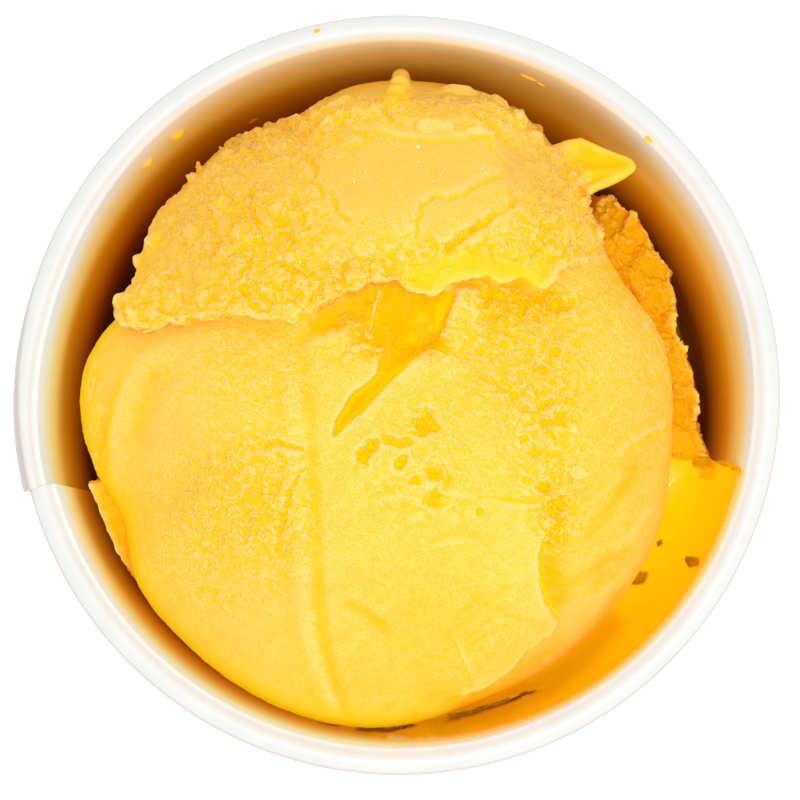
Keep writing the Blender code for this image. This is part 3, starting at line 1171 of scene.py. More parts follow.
        # Painted shade on the outer side of the rim roll.
        out = np.hypot(points[:, 0], points[:, 1]) - middle
        write_attribute(sleeve, "rim", ease(out, 0.95, 1.3) * ease(points[:, 2], 44.0, 47.0))
        # A smear of melt above the wet skirt, which also paints yellow bounce light on the wall there.
        melt = LowerMass().at(angle, 2)
        wet = LowerMass().at(angle, 5) * (LowerMass().at(angle, 1) < melt)
        smear = wet * bell(np.maximum(points[:, 2] - melt, 0.0), self.smear_and_bounce_reach)
        write_attribute(sleeve, "smear", smear * inner)

    def build(self) -> list[Piece]:
        """Model the cup.

        Returns:
            The sleeve and the disc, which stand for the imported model's wall and base.
        """
        section = self.sleeve_section()
        sleeve = self.turned("sleeve", section)
        self.shift_seam(sleeve, len(section))
        self.join_ends(sleeve, len(section))
        self.colour_in(sleeve, section)
        shade(sleeve, 40.0)
        dress(sleeve, Finish.SLEEVE.value.make())
        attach(sleeve, "root")
        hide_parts("cup_wall")
        section = self.disc_section()
        disc = self.turned("base_disc", section)
        self.join_ends(disc, len(section))
        shade(disc, 40.0)
        dress(disc, Finish.DISC.value.make())
        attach(disc, "root")
        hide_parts("cup_base")
        return [sleeve, disc]


# --- The softer ice cream round the scoop ---


@dataclass
class LowerMass:
    """The ice cream under and round the scoop: torn and crumbly on the right, melted in front.

    Each row of the form is a plan angle, the level beside the scoop, the level at the wall, the radius where
    one becomes the other, how crumbly it is and how wet. Each hole is a pixel, half sizes in millimetres, a
    turn in degrees and how deep and how dark with painted shade it is, and each slot a route and a width.
    """

    form: tuple = (
        (-180.0, 26.0, 14.0, 31.6, 0.4, 0.0),
        (-167.5, 28.0, 14.0, 32.2, 0.4, 0.0),
        (-165.5, 40.5, 20.0, 34.0, 0.35, 0.1),
        (-158.0, 40.5, 20.0, 33.8, 0.35, 0.1),
        (-150.0, 39.0, 20.0, 33.4, 0.3, 0.1),
        (-145.0, 36.5, 20.0, 32.9, 0.3, 0.1),
        (-140.0, 31.0, 18.0, 32.2, 0.3, 0.1),
        (-115.0, 28.0, 24.0, 32.0, 0.2, 0.1),
        (-100.0, 33.0, 35.5, 32.2, 0.1, 0.7),
        (-84.0, 36.5, 42.5, 32.2, 0.0, 1.0),
        (-60.0, 38.5, 46.0, 32.3, 0.0, 1.0),
        (-35.0, 40.3, 47.0, 32.3, 0.0, 1.0),
        (-14.0, 41.2, 47.3, 32.4, 0.0, 1.0),
        (-11.8, 41.2, 47.3, 32.4, 0.1, 1.0),
        (-10.8, 39.0, 16.0, 32.5, 0.7, 0.1),
        (-4.0, 38.8, 14.0, 31.4, 0.9, 0.0),
        (3.0, 38.8, 14.0, 31.0, 1.0, 0.0),
        (13.0, 38.5, 14.0, 29.8, 1.0, 0.0),
        (22.0, 38.5, 14.0, 30.9, 1.0, 0.0),
        (30.0, 38.5, 14.0, 31.3, 1.0, 0.0),
        (39.0, 38.0, 14.0, 31.7, 1.0, 0.0),
        (45.0, 36.0, 14.0, 31.4, 1.0, 0.0),
        (49.0, 26.0, 14.0, 30.4, 0.8, 0.0),
        (130.0, 24.0, 14.0, 31.0, 0.8, 0.0),
        (148.0, 31.0, 14.0, 31.4, 1.0, 0.0),
        (162.0, 29.0, 14.0, 31.4, 1.0, 0.0),
        (180.0, 26.0, 14.0, 31.6, 0.4, 0.0),
    )
    rounding: int = 3
    segments: int = 900
    rings: int = 104
    floor: float = 5.9
    sheet_x: tuple = (-0.5, -0.47, -0.40, -0.37, 0.42, 0.5)
    sheet_angle: tuple = (-180.0, -172.0, -140.0, -120.0, 50.0, 180.0)
    inner_radius: float = 22.0
    inner_level: float = 30.0
    floor_share: float = 0.03
    wall_share: float = 0.12
    top_share: float = 0.96
    drop_spread: float = 0.8
    skirt_foot: float = 28.8
    skirt_bend: float = 2.2
    end_wobble: float = 1.7
    lump_size: float = 3.2
    crumb_sizes: tuple = (2.2, 1.3, 0.75)
    film_width: float = 1.6
    relief_rounds: tuple = (3, 30)
    # Height bands of the painted glow in the clefts and of the painted shade on the low parts.
    lit_band: tuple = (32.0, 37.0)
    dark_band: tuple = (24.0, 34.0)
    hole_depth: float = 1.1
    hole_level: float = 42.5
    slot_level: float = 40.0
    holes_px: tuple = (
        ((692.0, 562.5), (0.82, 0.6), -40.0, 1.0),
        ((641.0, 577.0), (1.15, 0.62), 35.0, 0.9),
        ((661.0, 542.0), (0.45, 0.3), 60.0, 0.8),
        ((704.0, 465.0), (1.7, 1.1), -60.0, 0.5),
    )
    # A painted shadow band on the melt along the scoop's foot.
    shadow_px: tuple = ((440, 724), (500, 708), (545, 686), (575, 664), (598, 640), (610, 624))
    # Slots cut along the scoop's foot and painted dark as shade.
    slots_px: tuple = (
        (((440, 721), (470, 713), (500, 704), (525, 695), (550, 686)), 0.38),
        (((352, 727), (388, 730), (424, 723)), 0.4),
        (((316, 718), (331, 723), (345, 725)), 0.35),
    )

    def at(self, angle: Array, column: int) -> Array:
        """One column of the form, rounded a little.

        Args:
            angle: The plan angles, in degrees.
            column: Which column, counted from 0.

        Returns:
            The column's value at each angle.
        """
        rows = np.array(self.form)
        even = np.arange(-180.0, 180.0, 0.5)
        values = np.interp(even, rows[:, 0], rows[:, column])
        spread = np.exp(-np.linspace(-2.5, 2.5, 2 * self.rounding + 1) ** 2)
        spread /= spread.sum()
        wrapped = np.concatenate((values[-self.rounding:], values, values[: self.rounding]))
        values = np.convolve(wrapped, spread, "valid")
        place = (angle + 180.0) % 360.0
        return np.interp(place, np.append(even, 180.0) + 180.0, np.append(values, values[0]))

    def level(self, angle: Array, radius: Array) -> Array:
        """The height of the top surface.

        Args:
            angle: The points' plan angles.
            radius: How far out they are.

        Returns:
            The height.
        """
        beside_scoop = self.at(angle, 1)
        at_wall = self.at(angle, 2)
        edge = self.at(angle, 3)
        wobble = 0.7 * self.at(angle, 4)
        turn = np.radians(angle)
        ring = np.stack([np.cos(turn), np.sin(turn), 0.0 * turn], axis=1) * 32.0
        edge = edge + wobble * (fractal(ring, 4.0, 3) + 0.3 * fractal(ring + 5.0, 1.4, 2))
        reach = CUP.inside(at_wall) - self.skirt_foot
        rise = np.clip((radius - self.skirt_foot) / reach, 0.0, 1.0) ** self.skirt_bend
        drop = ease(radius, edge - self.drop_spread, edge + self.drop_spread)
        height = beside_scoop + (at_wall - beside_scoop) * np.where(at_wall > beside_scoop, rise, drop)
        inner = ease(radius, self.inner_radius, self.inner_radius + 2.0)
        return self.inner_level + (height - self.inner_level) * inner

    def shape(self, ball: Piece) -> None:
        """Wrap a blank sheet round the mass: its rows run over the floor, wall and top.

        Args:
            ball: The sheet, one metre square.
        """
        points = read_points(ball) * METRES
        turned = np.interp(points[:, 0], self.sheet_x, self.sheet_angle)
        share = points[:, 1] + 0.5
        turn = np.radians(turned)
        about = (36.0 - 13.0 * np.clip(share, self.wall_share, 1.0))[:, None]
        about = about * np.stack([np.cos(turn), np.sin(turn), 0.0 * turn], axis=1)
        angle = turned + self.end_wobble * fractal(about, 2.4, 3) * ease(share, 0.0, self.wall_share)
        at_wall = self.at(angle, 2)
        wall = CUP.inside(at_wall) + 0.08
        on_floor = np.clip(share / self.floor_share, 0.0, 1.0)
        on_wall = np.clip((share - self.floor_share) / (self.wall_share - self.floor_share), 0.0, 1.0)
        on_top = np.clip((share - self.wall_share) / (self.top_share - self.wall_share), 0.0, 1.0)
        last = np.clip((share - self.top_share) / (1.0 - self.top_share), 0.0, 1.0)
        height = self.floor + (at_wall - self.floor) * on_wall
        radius = (CUP.inside(height) - 0.02 + 0.1 * on_wall) * np.sin(on_floor * math.pi / 2.0)
        top_radius = (wall + (self.inner_radius - wall) * on_top) * (1.0 - last)
        top = share > self.wall_share
        radius = np.where(top, top_radius, radius)
        height = np.where(top, self.level(angle, radius), height)
        write_points(ball, np.stack([radius * np.cos(turn), radius * np.sin(turn), height], axis=1))

    def roughen(self, ball: Piece) -> Array:
        """Cut crumbs, melt ripples, holes and slots; the holes and slots are also painted dark as shade.

        Args:
            ball: The shaped mass.

        Returns:
            How deep in a hole or a slot each vertex is, from 0 to 1, which also sets its painted shade.
        """
        points = read_points(ball)
        normals = read_normals(ball)
        x, y = points[:, 0], points[:, 1]
        angle = np.degrees(np.arctan2(y, x))
        radius = np.hypot(x, y)
        crumbly = self.at(angle, 4)
        free = ease(CUP.inside(points[:, 2]) - radius, 0.2, 1.0) * ease(points[:, 2], 14.0, 24.0)
        moved = bent(points, 2.0, 0.4)
        lumps = 0.7 * fractal(moved, self.lump_size, 3) + 1.3 * rubble(moved, self.crumb_sizes, 0.65)
        lumps += 0.35 * fractal(moved + 60.0, 1.0, 3)
        height = crumbly * (lumps - 0.25) + (1.0 - crumbly) * 0.08 * fractal(points, 4.0, 2)
        pit = np.zeros(len(points))
        ragged = fractal(points + 3.0, 0.9, 2)
        for at_px, (long, short), turn, strength in self.holes_px:
            middle = VIEW.on_level(*at_px, self.hole_level)
            along, across = along_across(x - middle[0], y - middle[1], turn)
            along, across = along / long, across / short
            away = 0.5 * (np.abs(along) + np.abs(across) + np.hypot(along, across))
            pit = np.maximum(pit, strength * (1.0 - ease(away + 0.3 * ragged, 0.7, 1.15)))
        for route_px, width in self.slots_px:
            off, share = beside(VIEW.route(route_px, self.slot_level), x, y)
            width = width * (1.0 - 0.75 * share)
            off = off + 0.1 * ragged
            slot = (1.0 - ease(np.abs(off) / width, 0.5, 1.2)) * (1.0 - ease(share, 0.75, 1.0))
            pit = np.maximum(pit, slot * ease(share, 0.0, 0.12))
        height *= 1.0 - 0.75 * crumbly * ease(1.0 - normals[:, 2], 0.35, 0.8)
        points = points + normals * (height * free)[:, None]
        points[:, 2] -= self.hole_depth * pit
        write_points(ball, points)
        return pit

    def colour_in(self, ball: Piece, pit: Array) -> None:
        """Store where the mass is proud with painted highlight, hollow with painted shade, glowing with
        painted light in its clefts, thin, wet and dark with painted shade.

        Args:
            ball: The roughened mass.
            pit: How deep in a hole each vertex is, from 0 to 1, which also sets its painted shade.
        """
        points = read_points(ball)
        angle = np.degrees(np.arctan2(points[:, 1], points[:, 0]))
        fine, broad = [crest_height(ball, rounds) for rounds in self.relief_rounds]
        crumbly = self.at(angle, 4)
        melted = crumbly < 0.05
        at_wall = self.at(angle, 2)
        film = ease(points[:, 2], at_wall - self.film_width, at_wall - 0.05) * melted
        # Painted shadow: a soft band on the melt along the scoop's foot.
        valley_shadow, _ = beside(VIEW.route(self.shadow_px, self.slot_level), points[:, 0], points[:, 1])
        valley_shadow = bell(np.maximum(np.abs(valley_shadow) - 0.4, 0.0), 1.0) * melted
        steep = ease(1.0 - read_normals(ball)[:, 2], 0.3, 0.8)
        # Painted shade in the crevices of the torn crumbs on the right.
        torn = crumbly * ease(angle, -10.0, -6.0) * (1.0 - ease(angle, 60.0, 80.0))
        torn *= 0.3 - 0.45 * np.clip(fine * 8.0 + broad * 0.9, -0.5, 0.66)
        # Painted highlight on the crumbs' tops, and painted glow in their clefts.
        crest = (0.1 + fine * 9.0 + broad * 0.7) * (1.0 - steep)
        cleft = crumbly * np.clip(0.1 - fine * 9.0 - broad * 0.8, 0.0, 0.8)
        # Painted shade on the low parts, then all of the painted shade together.
        deep = 0.9 * (1.0 - ease(points[:, 2], *self.dark_band))
        painted_shade = np.maximum(np.maximum(deep, torn + 0.5 * torn * steep), 0.45 * valley_shadow)
        write_shares(
            ball,
            crest=0.4 * crumbly * crest,
            hollow=0.85 - fine * 9.0 - broad * 0.8,
            cleft=cleft * ease(points[:, 2], *self.lit_band),
            edge=film,
            film=0.9 * film**4,
            fleck=0.15 * crumbly,
            wet=self.at(angle, 5) * (1.0 - 0.9 * film),
            pit=np.maximum(0.95 * ease(pit, 0.15, 1.0), painted_shade),
        )

    def build(self) -> Piece:
        """Model the lower mass.

        Returns:
            The finished piece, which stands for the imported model's lower solid.
        """
        deselect()
        bpy.ops.mesh.primitive_grid_add(x_subdivisions=self.segments, y_subdivisions=self.rings, size=1.0)
        ball = bpy.context.object
        ball.name = "lower_ice_cream"
        self.shape(ball)
        bpy.ops.object.mode_set(mode="EDIT")
        bpy.ops.mesh.select_all(action="SELECT")
        bpy.ops.mesh.remove_doubles(threshold=1e-6)
        bpy.ops.mesh.normals_make_consistent(inside=False)
        bpy.ops.object.mode_set(mode="OBJECT")
        pit = self.roughen(ball)
        self.colour_in(ball, pit)
        shade(ball, 60.0)
        dress(ball, Finish.ICE_CREAM.value.make())
        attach(ball, "root")
        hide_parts("ice_cream_base")
        return ball


# --- The scoop ---


@dataclass(frozen=True)
class Stroke:
    """A line in the ice cream, drawn through pixels of the photograph.

    Without a reach it is a ridge, or a groove where its height is negative. With one it is a step:
    the ground on the line's left is raised, sharply at the line and less as far as the reach.
    """

    route_px: tuple
    height: float
    width: float = 0.35
    ragged: float = 0.4
    taper: float = 0.15
    reach: float = 0.0

    def relief(self, plan: Callable[[Pixels], Array], x: Array, y: Array, wobble: Array) -> Array:
        """The stroke's height at plan points.

        Args:
            plan: Finds the plan places that pixels show.
            x: The points' x.
            y: The points' y.
            wobble: Uneven relief at the points, which makes the line ragged.

        Returns:
            The height.
        """
        off, share = beside(plan(self.route_px), x, y)
        off = off + self.ragged * wobble
        ends = ease(share, 0.0, self.taper) * (1.0 - ease(share, 1.0 - self.taper, 1.0))
        if self.reach == 0.0:
            return self.height * bell(off, self.width) * ends
        raised = ease(off, -0.5 * self.width, 0.5 * self.width)
        return self.height * raised * (1.0 - ease(off, self.width, self.reach)) * ends


@dataclass(frozen=True)
class Dent:
    """A pit, as the photograph shows its middle, half sizes and turn in degrees."""

    at_px: tuple
    half_px: tuple
    turn: float
    depth: float
    inner: float = 0.45
    outer: float = 1.15
    ragged: float = 0.45

    def relief(self, plan: Callable[[Pixels], Array], x: Array, y: Array, wobble: Array) -> Array:
        """The dent's height at plan points.

        Args:
            plan: Finds the plan places that pixels show.
            x: The points' x.
            y: The points' y.
            wobble: Uneven relief at the points, which makes the rim ragged.

        Returns:
            The height, 0 or less.
        """
        middle = plan([self.at_px])[0]
        along, across = along_across(x - middle[0], y - middle[1], self.turn)
        half = np.array(self.half_px) * VIEW.scale
        share = np.hypot(along / half[0], across / half[1])
        return -self.depth * (1.0 - ease(share + self.ragged * wobble, self.inner, self.outer))


@dataclass(frozen=True)
class Bit:
    """A lump on the scoop, as the photograph shows its middle, half sizes and turn."""

    at_px: tuple
    half_px: tuple
    thickness: float
    turn: float = 0.0
    lift: float = 0.2
    rough: float = 0.22


@dataclass
class ScoopPiece:
    """What the scoop's body and the flap that it rolled over itself share: one plain ball.

    Each row of the outline swells it at an angle, by a share of its radius, over a spread. The gains turn
    fine, middle and broad relief into a painted highlight, painted deep yellow shade and a painted glow that
    stands for light through the ice cream: an even share first, and then one for each millimetre.
    """

    centre: tuple = (-2.35, -0.35, 39.0)
    radii: tuple = (30.2, 33.0, 26.0)
    outline: tuple = (
        (67.0, 0.035, 14.0),
        (44.0, -0.055, 12.0),
        (28.0, -0.080, 13.0),
        (-28.0, 0.030, 16.0),
        (-72.0, -0.020, 12.0),
        (-130.0, -0.022, 25.0),
        (-163.0, -0.030, 10.0),
        (-154.0, -0.055, 8.0),
        (108.0, -0.070, 11.0),
        (130.0, -0.055, 12.0),
        (153.0, -0.145, 13.0),
    )
    flap_px: tuple = (
        (88, 268), (112, 300), (136, 327), (160, 326), (180, 321), (215, 316), (243, 315),
        (268, 319), (300, 325), (308, 320), (318, 305), (345, 292), (360, 287), (372, 279),
        (392, 278), (405, 285), (430, 289), (445, 279), (467, 272), (481, 274), (492, 281),
        (503, 277), (511, 275), (519, 280), (527, 286), (536, 287), (543, 282), (548, 274),
        (558, 267), (600, 258), (680, 240),
    )
    forms: tuple = ()
    strokes: tuple = ()
    dents: tuple = ()
    # Lines painted deep yellow as shade along grooves and edges; they cut nothing.
    painted_shade_lines: tuple = ()
    bits: tuple = ()
    crags: tuple = ()
    flecks: tuple = ()
    frost_and_shade_zones: tuple = ()
    # Zones painted deep yellow as shade.
    painted_shade_zones: tuple = ()
    skin: BVHTree | None = None
    shown_band: tuple = (27.0, 36.0)
    relief_rounds: tuple = (3, 14, 60)
    # Gains for the painted highlight, the painted shade and the painted glow.
    crest_highlight_gain: tuple = (0.3, 12.0, 4.5, 0.6)
    deep_shade_gain: tuple = (-0.15, -11.0, -4.5, -1.3)
    cleft_glow_gain: tuple = (-0.05, -10.0, -5.0)
    steep_band: tuple = (0.3, 0.9)
    # Painted glow and painted edge light on steep sides.
    steep_glow: float = 0.3
    edge_share: float = 1.0
    triangles: int = 196000

    def spot(self, x_px: float, y_px: float) -> tuple[Array, Array]:
        """The place and the normal of the piece's skin at a pixel, or nearest to it.

        Args:
            x_px: The pixel across.
            y_px: The pixel down.

        Returns:
            The place in millimetres, and the normal.
        """
        centre = np.array(self.centre)
        radii = np.array(self.radii)
        if self.skin is None:
            place = VIEW.on_ball(x_px, y_px, centre, radii)
            return place, (place - centre) / radii**2
        eye = Vector(VIEW.eye * METRES)
        way = Vector(VIEW.ray(x_px, y_px))
        place, normal, _, _ = self.skin.ray_cast(eye, way)
        if place is None or place.z < 0.03:
            beyond = Vector(VIEW.on_level(x_px, y_px, centre[2] + 3.0) * METRES)
            place, normal, _, _ = self.skin.find_nearest(beyond)
        return np.array(place) / METRES, np.array(normal)

    def look_at(self, ball: Piece) -> None:
        """Take a piece's present shape as the skin on which pixels are found.

        Args:
            ball: The piece.
        """
        tree = bmesh.new()
        tree.from_mesh(ball.data)
        self.skin = BVHTree.FromBMesh(tree)
        tree.free()

    def plan(self, pixels: Pixels) -> Array:
        """The plan places on the plain ball that a row of pixels shows.

        Args:
            pixels: The pixels.

        Returns:
            The places, one (x, y) row each.
        """
        centre = np.array(self.centre)
        radii = np.array(self.radii)
        return np.array([VIEW.on_ball(x_px, y_px, centre, radii)[:2] for x_px, y_px in pixels])

    def outline_share(self, x: Array, y: Array) -> Array:
        """How far the scoop's outline departs from its plain ellipse.

        Args:
            x: The points' x.
            y: The points' y.

        Returns:
            The radius at each point's angle, as a share of the ellipse's.
        """
        angle = np.degrees(np.arctan2(y - self.centre[1], x - self.centre[0]))
        share = np.ones(np.shape(x))
        for middle, swell, spread in self.outline:
            away = (angle - middle + 180.0) % 360.0 - 180.0
            share = share + swell * bell(away, spread)
        return share

    def zones(self, rows: tuple, x: Array, y: Array) -> Array:
        """How strong a set of soft oval zones is at plan points.

        Args:
            rows: A middle and half sizes in pixels, and a strength, for each zone.
            x: The points' x.
            y: The points' y.

        Returns:
            The strongest zone's share, from 0 to 1.
        """
        strength = np.zeros(x.shape)
        for place, half, amount in rows:
            middle = self.plan([place])[0]
            across = (x - middle[0]) / (half[0] * VIEW.scale)
            along = (y - middle[1]) / (half[1] * VIEW.scale)
            strength = np.maximum(strength, amount * np.exp(-((across**2 + along**2) ** 1.5)))
        return strength

    def flap_side(self, x: Array, y: Array) -> Array:
        """How far plan points lie inside the flap's torn edge, negative where it doesn't reach."""
        side, _ = beside(self.plan(self.flap_px), x, y)
        return side

    def ball_points(self, ball: Piece) -> tuple[Array, Array]:
        """The plain ball's surface for a blank of radius one.

        Args:
            ball: The blank, a ball of radius one.

        Returns:
            The points and their normals.
        """
        ways = read_points(ball) * METRES
        ways /= np.linalg.norm(ways, axis=1)[:, None]
        radii = np.array(self.radii)
        points = ways * radii
        share = self.outline_share(points[:, 0] + self.centre[0], points[:, 1] + self.centre[1])
        points[:, :2] *= share[:, None]
        normals = ways / radii
        normals /= np.linalg.norm(normals, axis=1)[:, None]
        return points + np.array(self.centre), normals

    def blank(self, name: str, flap: bool) -> Piece:
        """A ball whose faces are finer where the piece shows.

        Args:
            name: The object's name.
            flap: Whether the flap shows, or what lies in front of it.

        Returns:
            The ball, of radius one.
        """
        deselect()
        bpy.ops.mesh.primitive_ico_sphere_add(subdivisions=6, radius=1.0)
        ball = bpy.context.object
        ball.name = name
        steps = ((-0.1, 1), (0.42, 1)) if flap else ((-0.1, 1), (-0.1, 1), (0.42, 1))
        for lowest, cuts in steps:
            middles = np.empty(len(ball.data.polygons) * 3, np.float32)
            ball.data.polygons.foreach_get("center", middles)
            middles = middles.reshape(-1, 3)
            place = middles * np.array(self.radii) + np.array(self.centre)
            side = self.flap_side(place[:, 0], place[:, 1])
            shown = (side > -1.5) if flap else (side < 1.5)
            ball.data.vertices.foreach_set("select", np.zeros(len(ball.data.vertices), bool))
            ball.data.edges.foreach_set("select", np.zeros(len(ball.data.edges), bool))
            ball.data.polygons.foreach_set("select", shown & (middles[:, 2] > lowest))
            bpy.ops.object.mode_set(mode="EDIT")
            bpy.ops.mesh.select_mode(type="FACE")
            bpy.ops.mesh.subdivide(number_cuts=cuts)
            bpy.ops.object.mode_set(mode="OBJECT")
        return ball

    def add_bits(self, ball: Piece, others: Sequence[Piece] = ()) -> None:
        """Join the lumps, and other pieces, to the ball.

        Args:
            ball: The piece.
            others: The other pieces.
        """
        lumps = list(others)
        for bit in self.bits:
            place, normal = self.spot(*bit.at_px)
            normal = normal / np.linalg.norm(normal)
            half = np.array([bit.half_px[0] * VIEW.scale, bit.half_px[1] * VIEW.scale, bit.thickness])
            lump = new_ball("bit", np.zeros(3), half, rings=14)
            points = laid_flat(lump, normal, bit.turn) + place + normal * bit.lift
            points += bit.rough * (points - place) * fractal(points, 1.2, 3)[:, None]
            write_points(lump, points)
            lumps.append(lump)
        fuse(ball, lumps)

    def surface(self, points: Array, side: Array) -> Array:
        """The height of the piece's own crags at points, which each piece gives."""
        return np.zeros(len(points))

    def roughen(self, ball: Piece) -> None:
        """Cut crags, cracks and dents into the shown part of the piece.

        Args:
            ball: The piece.
        """
        points = read_points(ball)
        normals = read_normals(ball)
        shown = np.flatnonzero(points[:, 2] > self.shown_band[0])
        near = points[shown]
        side = self.flap_side(near[:, 0], near[:, 1])
        height = self.surface(near, side)
        wobble = fractal(near, 1.2, 3)
        for stroke in self.strokes:
            height += stroke.relief(self.plan, near[:, 0], near[:, 1], wobble)
        for dent in self.dents:
            height += dent.relief(self.plan, near[:, 0], near[:, 1], wobble)
        height *= ease(near[:, 2], *self.shown_band)
        points[shown] += normals[shown] * height[:, None]
        write_points(ball, points)

    def wetness(self, points: Array, side: Array) -> Array:
        """How wet and glossy the piece is at points, which each piece gives."""
        return np.zeros(len(points))

    def colour_in(self, ball: Piece) -> None:
        """Store where the piece is proud with painted highlight, hollow with painted shade, glowing with
        painted light, edged with painted edge light, frosty with painted shade, flecked and wet.

        Args:
            ball: The piece.
        """
        points = read_points(ball)
        x, y = points[:, 0], points[:, 1]
        fine, middle, broad = [crest_height(ball, rounds) for rounds in self.relief_rounds]
        side = self.flap_side(x, y)
        steep = 1.0 - read_normals(ball)[:, 2]
        even = np.ones(len(points))
        # Painted highlight on crests, painted shade in hollows and painted glow in clefts, from the relief.
        crest = sum(gain * share for gain, share in zip(self.crest_highlight_gain, (even, fine, middle, broad)))
        hollow = sum(gain * share for gain, share in zip(self.deep_shade_gain, (even, fine, middle, broad)))
        cleft = sum(gain * share for gain, share in zip(self.cleft_glow_gain, (even, fine, middle)))
        # Painted shade: the zones, the slit's floor and the flap's underside.
        glow = np.maximum(self.zones(self.painted_shade_zones, x, y), self.sunken_shade(x, y))
        proud = np.clip(fine * 12.0 + middle * 4.0, 0.0, 1.0)
        # Painted shade in grooves and dents and along the painted lines.
        groove_shade = np.zeros(len(points))
        still = np.zeros(len(points))
        for item in (*self.forms, *self.strokes, *self.dents, *self.painted_shade_lines):
            groove_shade -= np.minimum(item.relief(self.plan, x, y, still), 0.0)
        hollow = hollow + (glow + 1.2 * groove_shade) * (1.0 - 0.8 * proud)
        # Painted glow on steep sides as well.
        cleft = np.clip(cleft, 0.0, 0.9) + self.steep_glow * ease(steep, *self.steep_band)
        # Painted edge light: the deep edge colour on steep sides, fading out to the right.
        edge = self.edge_share * ease(steep, 0.35, 0.9) * (1.0 - ease(x, 0.0, 14.0))
        write_shares(
            ball,
            cleft=np.clip(cleft, 0.0, 1.0) * (1.0 - self.covered(points, side)),
            crest=crest,
            hollow=hollow,
            edge=edge,
            frost=self.zones(self.frost_and_shade_zones, x, y),
            fleck=self.zones(self.flecks, x, y),
            wet=self.wetness(points, side),
        )

    def sunken_shade(self, x: Array, y: Array) -> Array:
        """Where painted shade colours the floor of a slit deep yellow, from 0 to 1, which each piece gives.
        """
        return np.zeros(x.shape)

    def covered(self, points: Array, side: Array) -> Array:
        """Where the painted glow is kept off the piece, from 0 to 1, which each piece gives."""
        return np.zeros(len(points))

    def put_in(self, ball: Piece) -> Piece:
        """Thin the piece out, dress it and give it its place in the frame.

        Args:
            ball: The piece.

        Returns:
            The same piece.
        """
        thin_out(ball, self.triangles)
        shade(ball, 60.0)
        dress(ball, Finish.ICE_CREAM.value.make())
        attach(ball, "root")
        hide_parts("ice_cream_scoop")
        return ball


